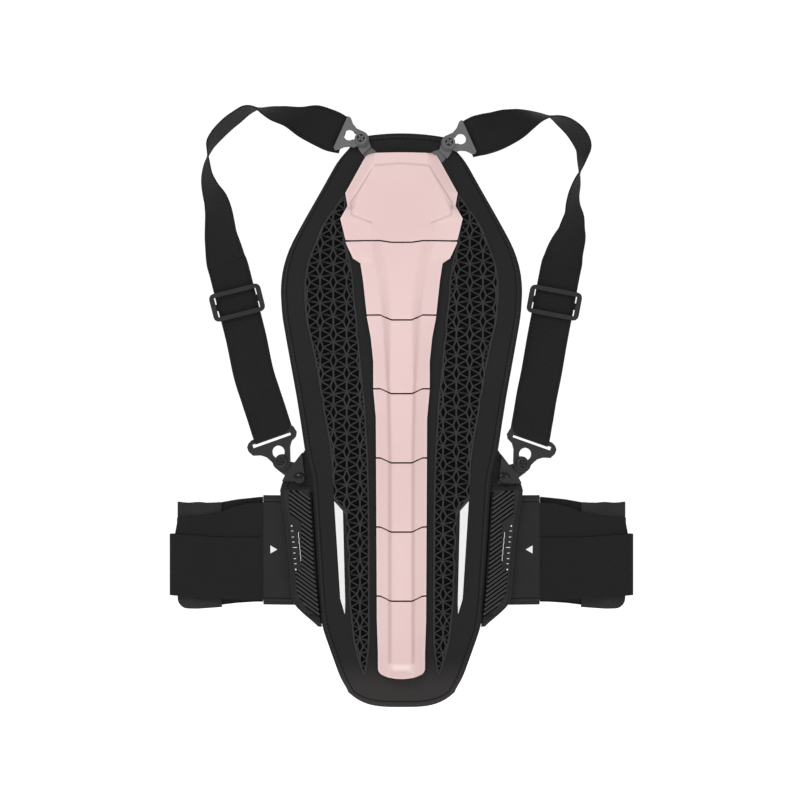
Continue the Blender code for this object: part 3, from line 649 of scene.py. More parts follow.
def makeLattice():
    openings, ribs, dots = latticeCells()
    holeMeshes = {n: bmesh.new() for n in range(1, 7)}
    ribMeshes = {n: bmesh.new() for n in range(1, 7)}
    level = backing["heights"][1]
    for name, side in sides:
        for corners in openings:
            bm = holeMeshes[segmentAt(sum(c[1] for c in corners) / 3)]
            made = bmesh.ops.create_circle(bm, segments=3, radius=0.001, cap_ends=True)["verts"]
            for v, (x, z) in zip(made, corners):
                v.co = (x * side, -(level - lattice["meshSink"]), z)
            face = made[0].link_faces[0]
            lifted = bmesh.ops.extrude_face_region(bm, geom=[face])["geom"]
            bmesh.ops.translate(bm, vec=(0, -lattice["meshRise"], 0), verts=onlyVerts(lifted))
        for (p, q), width in ribs.items():
            bm = ribMeshes[segmentAt((p[1] + q[1]) / 2)]
            a, b = Vector((p[0] * side, 0, p[1])), Vector((q[0] * side, 0, q[1]))
            turn = (b - a).to_track_quat("Z", "Y").to_matrix().to_4x4()
            place = Matrix.Translation((a + b) / 2 + Vector((0, -(level + lattice["ribLift"]), 0))) @ turn
            bmesh.ops.create_cone(bm, cap_ends=True, segments=6, radius1=width / 2, radius2=width / 2,
                                  depth=(b - a).length + width * 0.3, matrix=place)
        for x, z in dots:
            place = Matrix.Translation((x * side, -(level + lattice["dotLift"]), z)) @ lyingDown
            bmesh.ops.create_cone(ribMeshes[segmentAt(z)], cap_ends=True, segments=8, radius1=lattice["dot"] * 1.3,
                                  radius2=lattice["dot"] * 0.8, depth=0.0006, matrix=place)
    for number in range(1, 7):
        for label, bm, look in (("mesh", holeMeshes[number], "meshAndGrooveShade"), ("lattice", ribMeshes[number], "ribs")):
            if not bm.verts:
                bm.free()
                continue
            drape(bm)
            bmesh.ops.recalc_face_normals(bm, faces=bm.faces)
            piece = newPiece(f"{label}_{number}", bm, finish[look], 40 if label == "lattice" else None, True)
            bendAcross(piece, number)


print("lattice")
makeLattice()


# hard plates
plates = {
    "foot": 0.0190, "wall": 0.0022, "gap": 0.0014, "lean": math.tan(math.radians(5.5)), "rowStep": 0.0022,
    "edgeHeight": 0.0030, "crest": 0.0101, "channel": 0.0080, "creaseWidth": 0.0036, "end": -0.1153,
    "bevel": 0.0007, "parts": (3, 8, 4, 5, 5), "stopTop": -0.1066, "stopLow": -0.1128,
    "hingeDrop": 0.0030, "top": 0.3740, "topHalf": 0.0293, "topSag": 0.0007, "endHalf": 0.0222, "endArch": 0.0047,
    # painted shade in the groove and beside the creases, painted highlight on the rims and on the bottom step
    "lineShade": (0.0011, 0.62), "bandShade": 0.78, "bandFade": (0.010, 0.11, 0.22), "rimHighlight": (0.0012, 0.55),
    "stopHighlight": (0.0098, 0.95), "topRow": 0.3733, "seamFlat": 0.0095, "seamRun": 0.0105,
    "dips": (0.0008, 0.0023, 0.0023, 0.0023, 0.0023, 0.0023),  # how far each seam dips in the middle
    "fieldParts": (3, 30, 6, 18, 18), "fieldStep": 0.0009, "lineDepth": 0.00045, "lineWidth": 0.0010,
    "field": (  # the six-sided line on the top plate, right half
        (0.0281, 0.3076), (0.0468, 0.3152), (0.0480, 0.3265), (0.0258, 0.3618), (0.0, 0.3638),
    ),
    "edge": (
        (0.3733, 0.0293), (0.3715, 0.0330), (0.3665, 0.0362), (0.3360, 0.0527), (0.3232, 0.0507), (0.3110, 0.0574),
        (0.2890, 0.0521), (0.2740, 0.0455), (0.2690, 0.0385), (0.2514, 0.0359), (0.2190, 0.0326),
        (0.1985, 0.0288), (0.1758, 0.0265), (0.1500, 0.0265), (0.1228, 0.0241), (-0.0660, 0.0232),
        (-0.0960, 0.0222), (-0.1118, 0.0221), (-0.1140, 0.0212), (-0.1153, 0.0192),
    ),
    "crease": (
        (0.3733, 0.0240), (0.3630, 0.0253), (0.3195, 0.0455), (0.3060, 0.0300), (0.2900, 0.0290),
        (0.2620, 0.0240), (0.2190, 0.0180), (0.1500, 0.0140), (0.0850, 0.0128), (-0.1200, 0.0128),
    ),
}


# a joint line dips in its middle, the first one least
def seamShape(seam, x):
    share = within((abs(x) - plates["seamFlat"]) / plates["seamRun"])
    return plates["dips"][seam] * (2 * share - 1)


def plateEnds(segment, x, y):
    # half the gap at a seam, wider towards the wearer so that the plates can tip
    def room(seam):
        hinge = spineOffset(seams[seam]) - plates["foot"] - plates["hingeDrop"]
        return plates["gap"] / 2, max(0, y - hinge) * plates["lean"]

    if segment == 1:
        high = plates["top"] - plates["topSag"] * (x / plates["topHalf"]) ** 2
    else:
        half, tilt = room(segment - 2)
        high = seams[segment - 2] + seamShape(segment - 2, x) - half - tilt
    if segment == 7:
        low = plates["end"] - plates["endArch"] * (1 - (x / plates["endHalf"]) ** 2)
    else:
        half, tilt = room(segment - 1)
        low = seams[segment - 1] + seamShape(segment - 1, x) + half + tilt
    return low, high


# offsets and heights across half a plate, from its foot to the middle
def plateAcross(z, segment):
    half = readTable(plates["edge"], z)
    crease = min(readTable(plates["crease"], z), half - 0.004)
    crest, channel = plates["crest"], plates["channel"]
    if segment < 3:  # the channel fades out on the two widest plates
        share = within((z - seams[1]) / (seams[0] - seams[1]))
        channel += (crest - 0.0006 - channel) * share
        crest -= 0.0010 * within((z - seams[0]) / 0.018)
        channel = min(channel, crest)
    if segment == 7:  # and ends in a step at the bottom
        share = within((plates["stopTop"] - z) / (plates["stopTop"] - plates["stopLow"]))
        channel += (crest - channel) * share
    inner = crease - plates["creaseWidth"]
    return [(half, 0.0), (half, plates["edgeHeight"]), (crease, crest), (inner, channel),
            (inner * 0.5, channel), (0.0, channel)]


# shares of the half profile, from the foot to the middle, with its corners kept
def acrossStops(parts):
    return [leg + i / count for leg, count in enumerate(parts) for i in range(count)] + [len(parts)]


# distance to the six-sided line
def fieldDistance(x, z):
    spot = Vector((abs(x), z))
    nearest = 1.0
    for a, b in zip(plates["field"], plates["field"][1:]):
        a, b = Vector(a), Vector(b)
        share = within((spot - a).dot(b - a) / (b - a).length_squared)
        nearest = min(nearest, (spot - a - (b - a) * share).length)
    return nearest


def makePlate(segment):
    high = plates["topRow"] if segment == 1 else seams[segment - 2]
    low = plates["end"] if segment == 7 else seams[segment - 1]
    step = {1: plates["fieldStep"], 7: plates["rowStep"] / 2}.get(segment, plates["rowStep"])
    inside = {z for z, _ in plates["edge"] + plates["crease"] if low + 0.002 < z < high - 0.002}
    marks = [low] + sorted(inside) + [high]
    levels = [low]
    for a, b in zip(marks, marks[1:]):
        steps = math.ceil((b - a) / step)
        levels += [a + (b - a) * (i + 1) / steps for i in range(steps)]
    closed = (segment == 7, segment == 1)
    stops = ([low] if closed[0] else []) + levels + ([high] if closed[1] else [])
    shares = acrossStops(plates["fieldParts"] if segment == 1 else plates["parts"])
    half = len(shares) - 1

    def place(u, v):
        row = round(v * (len(stops) - 1))
        column = round(u * half * 2)
        nominal = stops[row]
        profile = plateAcross(nominal, segment)
        share = shares[min(column, 2 * half - column)]
        leg = min(int(share), len(profile) - 2)
        (xa, ha), (xb, hb) = profile[leg], profile[leg + 1]
        x, h = xa + (xb - xa) * (share - leg), ha + (hb - ha) * (share - leg)
        x = x if column <= half else -x
        if segment == 1:
            h -= plates["lineDepth"] * bell(fieldDistance(x, nominal), plates["lineWidth"])
        y = wrapOffset(x) + spineOffset(nominal) - plates["foot"] - h
        zLow, zHigh = plateEnds(segment, x, y)
        z = zLow + (zHigh - zLow) * (nominal - low) / (high - low)
        foot = (closed[0] and row == 0) or (closed[1] and row == len(stops) - 1)
        return x, wrapOffset(x) + spineOffset(z) - plates["foot"] - (0 if foot else max(h, 0)), z

    bm = bmesh.new()
    # painted shade in the six-sided groove and beside the creases
    line = bm.verts.layers.float.new("line")
    # painted highlight on the rims and on the step at the bottom
    paintedHighlight = bm.verts.layers.float.new("paintedHighlight")
    gridSheet(bm, half * 2, len(stops) - 1, place)
    for v in bm.verts:
        x, z = abs(v.co.x), v.co.z
        crease = min(readTable(plates["crease"], z), readTable(plates["edge"], z) - 0.004)
        rim = readTable(plates["edge"], z) - x
        if segment == 1:
            width, shade = plates["lineShade"]
            # painted shade along the six-sided groove
            v[line] = bell(fieldDistance(x, z), width) * shade
        else:
            # painted shade: the band beside the crease is darkened, wide at the top and fading downwards
            wide = max(plates["creaseWidth"] * 0.5, 0.0018 + 0.0034 * within((z - 0.16) / 0.09))
            inset, run, least = plates["bandFade"]
            fade = within((seams[0] - inset - z) / run, least)
            if segment == 7:
                fade *= within((z - plates["stopTop"]) / 0.002)
            v[line] = bell(x - crease + wide, wide, 4) * plates["bandShade"] * fade
        # painted highlight on the step that faces up at the bottom of the last plate
        if segment == 7:
            middle, reach = (plates["stopTop"] + plates["stopLow"]) / 2, (plates["stopTop"] - plates["stopLow"]) / 2
            width, shade = plates["stopHighlight"]
            v[paintedHighlight] = shade * math.exp(-((z - middle) / reach) ** 4 - (x / width) ** 8)
        # painted highlight along the rims
        width, shade = plates["rimHighlight"]
        v[paintedHighlight] = max(v[paintedHighlight], shade * bell(rim, width))
    bmesh.ops.remove_doubles(bm, verts=bm.verts, dist=1e-6)
    faceOutwards(bm)
    bmesh.ops.solidify(bm, geom=list(bm.faces), thickness=plates["wall"])
    piece = newPiece(f"plate_{segment}", bm, finish["shell"])
    rounding = piece.modifiers.new("softEdges", "BEVEL")
    rounding.width = plates["bevel"]
    rounding.segments = 3
    rounding.limit_method = "ANGLE"
    rounding.angle_limit = math.radians(38)
    bakeModifiers(piece)
    piece.data.shade_smooth()
    piece.data.set_sharp_from_angle(angle=math.radians(48))
    fasten(piece, f"segment_{segment}", "shell")
    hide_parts(f"spine_plate_{segment}")


print("plates")
for segment in range(1, 8):
    makePlate(segment)


# comfort pads on the wearer's side
pads = {
    "outer": 0.0098, "half": 0.0645, "hem": 0.0145, "round": 0.007, "roundDepth": 0.0052, "gap": 0.0018,
    "lean": 0.0012, "topGap": 0.010, "endGap": 0.018, "endHalf": 0.0585, "endStart": -0.082, "endRun": 0.050,
    "channelDepth": 0.0011, "channelWidth": 0.0022,
}


def makePadPiece(segment):
    low = backing["bottom"] + pads["endGap"] if segment == 7 else seams[segment - 1] + pads["gap"]
    high = back["top"] - pads["topGap"] if segment == 1 else seams[segment - 2] - pads["gap"]
    leanLow = 0 if segment == 7 else pads["lean"]
    leanHigh = 0 if segment == 1 else pads["lean"]

    def spread(u, v, inner):
        a = math.sin(math.pi * (u - 0.5))
        b = ease(v)
        zLow, zHigh = (low + leanLow * inner), (high - leanHigh * inner)
        z = zLow + (zHigh - zLow) * b
        half = min(pads["half"], backingHalf(z) - pads["hem"])
        if segment == 7:
            past = max(pads["endStart"] - z, 0) / pads["endRun"]
            half = min(half, pads["endHalf"] * math.sqrt(max(0.05, 1 - past ** 2)))
        x = a * half
        inset = min(half - abs(x), z - zLow, zHigh - z)
        if inner:
            height = roundOff(inset, pads["round"], pads["roundDepth"])
            channel = pads["channelDepth"] * bell(abs(x) - half * 0.5, pads["channelWidth"])
            return x, -(height + channel), z
        return x, -(pads["outer"] - roundOff(inset, 0.004, 0.0022)) + wrapOffset(x), z

    bm = slab(26, 14, lambda u, v: spread(u, v, 0), lambda u, v: spread(u, v, 1))
    for v in bm.verts:
        v.co.y += spineOffset(v.co.z)
    piece = newPiece(f"pad_{segment}", bm, finish["pad"], 70)
    fasten(piece, f"segment_{segment}", "pad")
    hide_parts(f"foam_pad_{segment}")


print("pads")
for segment in range(1, 8):
    makePadPiece(segment)


# flat prints: strips, pointers and scale ticks
prints = {
    "lift": 0.00025, "thick": 0.0003, "scaleLevel": 0.0186,
    "strip": ((0.0635, 0.0463), (0.0553, 0.0372), (0.0531, -0.0491), (0.0534, -0.0602), (0.0577, -0.0457)),
    "pointer": ((0.1244, 0.0038), (0.1178, 0.0), (0.1244, -0.0038)),
    "tickHeights": (0.0180, 0.0123, 0.0076, 0.0025, -0.0028, -0.0081, -0.0129), "tickInset": 0.0052,
    "longTick": 0.0040, "shortTick": 0.0021, "dotHeights": (0.0228, -0.0184), "dot": 0.00075,
    "lineHeights": (0.0142, 0.0088, 0.0034, -0.0020, -0.0074),
}


# thin slab from an outline, cut into bands so that it can follow the back
def flatPrint(outline, side, height, bands=1):
    bm = bmesh.new()
    verts = [bm.verts.new((x * side, -height, z)) for x, z in outline]
    bmesh.ops.contextual_create(bm, geom=verts)
    low = min(z for _, z in outline)
    high = max(z for _, z in outline)
    for i in range(1, bands):
        cut = low + (high - low) * i / bands
        bmesh.ops.bisect_plane(bm, geom=bm.verts[:] + bm.edges[:] + bm.faces[:], plane_co=(0, 0, cut),
                               plane_no=(0, 0, 1))
    lifted = bmesh.ops.extrude_face_region(bm, geom=bm.faces[:])["geom"]
    bmesh.ops.translate(bm, vec=(0, -prints["thick"], 0), verts=onlyVerts(lifted))
    return bm


# part of an outline between two heights
def clipped(outline, low, high):
    def cut(points, keep, level):
        out = []
        for (ax, az), (bx, bz) in zip(points, points[1:] + points[:1]):
            inA, inB = keep(az), keep(bz)
            if inA:
                out.append((ax, az))
            if inA != inB:
                t = (level - az) / (bz - az)
                out.append((ax + (bx - ax) * t, level))
        return out
    points = cut(list(outline), lambda z: z <= high, high)
    return cut(points, lambda z: z >= low, low)


def makeStrips():
    for name, side in sides:
        for number, low, high in ((5, splits[4], 1.0), (6, -1.0, splits[4])):
            outline = clipped(prints["strip"], low, high)
            bm = flatPrint(outline, side, backing["heights"][1] - 0.0001 + prints["lift"], 16)
            drape(bm)
            piece = newPiece(f"strip_{number}_{name}", bm, finish["print"])
            bendAcross(piece, number)


print("strips")
makeStrips()


# side wings
wings = {
    "heights": (0.0105, 0.0156), "sideGap": 0.0004, "ends": (-0.0725, 0.0593), "round": 0.0022, "roundDepth": 0.0018,
    "tongue": (-0.0700, 0.0580), "tongueLevels": (0.0101, 0.0094), "tongueInset": 0.004, "tongueWidth": 0.009,
    "topLevels": (0.0099, 0.0117), "topLift": 0.0037, "topBend": (0.0560, 0.0700), "topTuck": 0.003,
    "topRound": (0.0016, 0.0005), "liftRun": 0.0062, "tabInner": 0.0905, "ridge": (0.0018, 0.46), "bed": (0.0004, 0.42),
    "ridgeBevel": 0.0004,
    "edge": (
        (0.0593, 0.1134), (0.0539, 0.1153), (0.0425, 0.1134), (0.0274, 0.1105), (0.0095, 0.1086),
        (-0.0104, 0.1067), (-0.0444, 0.1041), (-0.0515, 0.1021), (-0.0586, 0.0950), (-0.0662, 0.0860),
        (-0.0725, 0.0780),
    ),
    "topEdge": (  # height and half width of the soft top, up to the hook's ear
        (0.0945, 0.0914), (0.0880, 0.0958), (0.0822, 0.1000), (0.0709, 0.1085), (0.0662, 0.1118), (0.0620, 0.1135),
        (0.0550, 0.1153),
    ),
    "pitch": 0.00435, "slope": 0.72, "panelLevel": 0.0185, "bedLevel": 0.0181, "ridgeTop": 0.0480, "ridgeLow": -0.0680,
    "ridgeCeiling": 0.0560,
    "ridgeInner": ((0.0560, 0.0868), (0.0180, 0.0842), (-0.0208, 0.0823), (-0.0600, 0.0775), (-0.0680, 0.0765)),
    "ridgeOuter": ((0.0560, 0.1072), (0.0500, 0.1066), (0.0285, 0.1056), (0.0270, 0.0948), (-0.0205, 0.0946),
                   (-0.0225, 0.1002), (-0.0440, 0.0990), (-0.0500, 0.0960), (-0.0580, 0.0850), (-0.0640, 0.0790)),
}


def wingOuter(z):
    return sum(readTable(wings["edge"], z + s) for s in (-0.002, 0, 0.002)) / 3


def wingInner(z):
    return backingHalf(z) + wings["sideGap"]


def makeWing(name, side):
    low, high = wings["ends"]

    def rim(x, z):
        return min(wingOuter(z) - abs(x), high - z + 0.001, z - low + 0.004)

    def spread(u, v, height, sign):
        z = low + (high - low) * v
        x = wingInner(z) + (wingOuter(z) - wingInner(z)) * ease(u)
        inset = min(rim(x, z), (x - wingInner(z)) * 2)
        return x * side, -(height - sign * roundOff(inset, wings["round"], wings["roundDepth"])), z

    piece = makeLayer(f"wing_{name}", 10, 30, wings["heights"], spread, rim, "tab")
    fasten(piece, "segment_6", "wing")
    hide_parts(f"side_wing_{name}")


# dark tongue under the backing, and the soft top that reaches up to the hook's ear
def makeWingJoins(name, side):
    foot, head = wings["tongue"]

    def tongueSheet(u, v, level):
        z = foot + (head - foot) * v
        return (backingHalf(z) - wings["tongueInset"] + wings["tongueWidth"] * u) * side, -level, z

    outer, inner = wings["tongueLevels"]
    bm = slab(2, 26, lambda u, v: tongueSheet(u, v, outer), lambda u, v: tongueSheet(u, v, inner))
    drape(bm)
    piece = newPiece(f"wingTongue_{name}", bm, finish["elastic"], 50)
    fasten(piece, "segment_6", "wing")

    def rim(x, z):
        return min(readTable(wings["topEdge"], z) - abs(x), wings["topEdge"][0][0] - z + 0.002)

    def spread(u, v, height, sign):
        low, high = wings["topEdge"][-1][0], wings["topEdge"][0][0]
        z = low + (high - low) * v
        near = backingHalf(z) - wings["topTuck"]
        x = near + (readTable(wings["topEdge"], z) - near) * ease(u)
        lift = wings["topLift"] * max(0, 1 - max(0, z - wings["topBend"][0]) / wings["liftRun"])
        if sign < 0:  # the belt tab slides up under this side
            lift *= within((wings["tabInner"] - x) / 0.003)
        return x * side, -(height + lift * sign - sign * roundOff(rim(x, z), *wings["topRound"])), z

    piece = makeLayer(f"wingTop_{name}", 12, 30, wings["topLevels"], spread, rim, "tab")
    start, end = wings["topBend"]
    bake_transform(piece)


# slanting bars that follow the panel, each from its inner to its outer edge
def ridgeBars(side, shift, level, thick, width):
    bm = bmesh.new()
    pitch, slope = wings["pitch"], wings["slope"]
    for i in range(int((wings["ridgeTop"] - wings["ridgeLow"]) / pitch)):
        z = wings["ridgeTop"] - (i + shift) * pitch
        inner, outer = readTable(wings["ridgeInner"], z), readTable(wings["ridgeOuter"], z + slope * 0.012)
        start, end = Vector((inner, 0, z)), Vector((outer, 0, z + slope * (outer - inner)))
        if end.z > wings["ridgeCeiling"]:
            end = start + (end - start) * (wings["ridgeCeiling"] - start.z) / (end.z - start.z)
        if (end - start).length < 0.003 or end.x <= start.x:
            continue
        start.x, end.x = start.x * side, end.x * side
        turn = (end - start).to_track_quat("X", "Z").to_matrix().to_4x4()
        place = (Matrix.Translation((start + end) / 2 + Vector((0, -level, 0))) @ turn
                 @ Matrix.Diagonal(((end - start).length, thick, width, 1)))
        bmesh.ops.create_cube(bm, size=1.0, matrix=place)
    bmesh.ops.subdivide_edges(bm, edges=[e for e in bm.edges if e.calc_length() > 0.006], cuts=3)
    drape(bm)
    return bm


def makeRidges(name, side):
    thick, share = wings["ridge"]
    bm = ridgeBars(side, 0, wings["panelLevel"], thick, wings["pitch"] * share)
    bmesh.ops.bevel(bm, geom=[e for e in bm.edges if e.calc_face_angle(0) > 0.9], offset=wings["ridgeBevel"],
                    segments=2, profile=0.5, affect="EDGES", material=-1)
    ridges = newPiece(f"wingRidges_{name}", bm, finish["ridge"], 40)
    # painted shade: very dark strips laid between the ridges to darken the grooves
    thick, share = wings["bed"]
    bm = ridgeBars(side, share, wings["bedLevel"], thick, wings["pitch"] * share)
    beds = newPiece(f"wingBeds_{name}", bm, finish["meshAndGrooveShade"])
    for piece in (ridges, beds):
        fasten(piece, "segment_6", "wing_panel")


def makeTicks(name, side):
    bm = bmesh.new()
    thick = prints["thick"]

    # a small bar whose middle stands inward of the wing's outer edge
    def bar(z, inward, width, height):
        place = Matrix.Translation(((wingOuter(z) - inward) * side, -prints["scaleLevel"], z))
        bmesh.ops.create_cube(bm, size=1.0, matrix=place @ Matrix.Diagonal((width, thick, height, 1)))

    for i, z in enumerate(prints["tickHeights"]):
        reach = prints["longTick"] if i == 3 else prints["shortTick"]
        bar(z, prints["tickInset"] + reach / 2, reach, 0.00055)
    for z in prints["dotHeights"]:
        place = Matrix.Translation(((wingOuter(z) - 0.0062) * side, -prints["scaleLevel"], z)) @ lyingDown
        bmesh.ops.create_cone(bm, cap_ends=True, segments=12, radius1=prints["dot"], radius2=prints["dot"],
                              depth=thick, matrix=place)
    for z in prints["lineHeights"]:
        bar(z, 0.0118, 0.0004, 0.0056)
    drape(bm)
    piece = newPiece(f"scale_{name}", bm, finish["print"])
    fasten(piece, "segment_6", "shell")


print("wings")
for name, side in sides:
    makeWing(name, side)
    makeWingJoins(name, side)
    makeRidges(name, side)
    makeTicks(name, side)


# waist belts
belts = {
    "tab": (0.0920, 0.1312), "tabHeight": (-0.0525, 0.0515), "tabLevels": (0.0070, 0.0098),
    "fold": 0.1317, "foldCentre": 0.2180, "frontLevel": 0.0098, "backLevel": 0.0036,
    "thick": 0.0012, "tailEnd": 0.1316, "bandStart": 0.1290, "wrapLevel": 0.0085, "wrapEnd": 0.1370,
    "tailBend": (0.2214, 0.2175), "upperLength": 0.0855, "upperLevel": 0.0083, "upperBottom": -0.0440,
    "tabRound": (0.0014, 0.0012), "padRound": (0.003, 0.0009), "padLevels": (0.0041, 0.0066), "ripple": 0.0002,
    "dip": 0.0014, "dipEnd": 0.1340, "dipRun": 0.0030,
    "bandTop": ((0.1290, 0.0118), (0.1350, 0.0112), (0.1700, 0.0108), (0.1870, 0.0118), (0.2230, 0.0138)),
    "bandBottom": ((0.1290, -0.0478), (0.1530, -0.0483), (0.1870, -0.0472), (0.2230, -0.0450)),
    "innerTop": ((0.1290, 0.0446), (0.1441, 0.0438), (0.1611, 0.0397), (0.1743, 0.0340), (0.1945, 0.0302),
                 (0.2140, 0.0292)),
    "tailTop": ((0.1270, 0.0500), (0.1347, 0.0496), (0.1564, 0.0472), (0.1725, 0.0442), (0.2120, 0.0428),
                (0.2165, 0.0138)),
    "tailBottom": ((0.1270, -0.0500), (0.1390, -0.0502), (0.1565, -0.0516), (0.1725, -0.0538), (0.2110, -0.0470),
                   (0.2165, -0.0450)),
    "padEdge": (0.1712, 0.2146), "padHeight": (-0.0579, 0.0440), "padCorner": 0.010,
}


def alongTable(table, x):
    for (a, va), (b, vb) in zip(table, table[1:]):
        if x <= b:
            return va + (vb - va) * max(0, (x - a) / (b - a))
    return table[-1][1]


def makeTab(name, side):
    inner, outer = belts["tab"]
    low, high = belts["tabHeight"]

    def rim(x, z):
        return min(high - z, z - low)

    def spread(u, v, height, sign):
        z = low + (high - low) * ease(v)
        x = inner + (outer - inner) * u
        return x * side, -(height - sign * roundOff(rim(x, z), *belts["tabRound"])), z

    piece = makeLayer(f"tab_{name}", 12, 36, belts["tabLevels"], spread, rim, "tab")
    fasten(piece, f"belt_tab_{name}", "belt_tab")
    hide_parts(f"belt_tab_{name}")
    bm = flatPrint(prints["pointer"], side, belts["tabLevels"][1] + 0.0001)
    drape(bm)
    piece = newPiece(f"pointer_{name}", bm, finish["print"])
    fasten(piece, f"belt_tab_{name}", "shell")


# a belt layer: path turns a share of the length into x and height
def beltSheet(name, side, path, top, bottom, columns, rows, ripple=0.0):
    def place(u, v):
        x, h = path(u)
        z = bottom(x) + (top(x) - bottom(x)) * v
        wave = ripple * math.sin(x * 70 + v * 3.0) * math.sin(math.pi * v)
        return x * side, -(h + wave) + wrapOffset(x), z

    bm = bmesh.new()
    gridSheet(bm, columns, rows, place)
    faceOutwards(bm, -1)
    bmesh.ops.solidify(bm, geom=list(bm.faces), thickness=belts["thick"])
    return newPiece(name, bm, finish["elastic"], 60)


def makeBelt(name, side):
    centre, front, rear = belts["foldCentre"], belts["frontLevel"], belts["backLevel"]
    middle, radius = (front + rear) / 2, (front - rear) / 2
    quarter = radius * math.pi / 2
    wrapY = wrapOffset(belts["fold"]) - belts["wrapLevel"]

    def alongEdge(key):
        return lambda x: alongTable(belts[key], x)

    # the band dips to pass under the tab's edge
    def underTab(x):
        return belts["dip"] * within((belts["dipEnd"] - x) / belts["dipRun"])

    def roundFold(angle):
        return centre + radius * math.sin(angle), middle + radius * math.cos(angle)

    def frontPath(u):
        run = centre - belts["bandStart"]
        s = u * (run + quarter)
        if s <= run:
            return belts["bandStart"] + s, front - underTab(belts["bandStart"] + s)
        return roundFold((s - run) / radius)

    def rearPath(u):
        s = u * (centre - belts["tailEnd"] + quarter)
        if s <= quarter:
            return roundFold(math.pi / 2 + s / radius)
        return centre - (s - quarter), rear

    def wrapBlend(piece):
        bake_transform(piece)

    band = beltSheet(f"beltFront_{name}", side, frontPath, alongEdge("bandTop"), alongEdge("bandBottom"), 44, 14,
                     belts["ripple"])
    wrapBlend(band)
    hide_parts(f"belt_band_{name}")
    upper = beltSheet(f"beltUpper_{name}", side,
                      lambda u: (belts["bandStart"] + belts["upperLength"] * u, belts["upperLevel"]),
                      alongEdge("innerTop"), lambda x: belts["upperBottom"], 34, 14, belts["ripple"])
    wrapBlend(upper)
    tail = beltSheet(f"beltTail_{name}", side, rearPath, alongEdge("tailTop"), alongEdge("tailBottom"), 60, 16)
    start, end = belts["tailBend"]
    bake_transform(tail)
    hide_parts(f"belt_tail_{name}")


def makeClosurePad(name, side):
    inner, outer = belts["padEdge"]
    low, high = belts["padHeight"]
    corner = belts["padCorner"]

    def padLow(x):
        over = within((x - (outer - corner)) / corner)
        return low + 0.0018 * max(0, (0.195 - x) / 0.02) + corner * (1 - math.sqrt(1 - over ** 2))

    def spread(u, v, height, sign):
        x = inner + (outer - inner) * ease(u)
        top = high + 0.0004 * math.sin(x * 300)
        z = padLow(x) + (top - padLow(x)) * ease(v)
        inset = min(x - inner, outer - x, high - z, z - padLow(x))
        return x * side, -(height - sign * roundOff(inset, *belts["padRound"])), z

    piece = makeLayer(f"closurePad_{name}", 18, 30, belts["padLevels"], spread, None, "fleece")
    fasten(piece, f"belt_tail_{name}", "elastic")


print("belts")
for name, side in sides:
    makeTab(name, side)
    makeBelt(name, side)
    makeClosurePad(name, side)


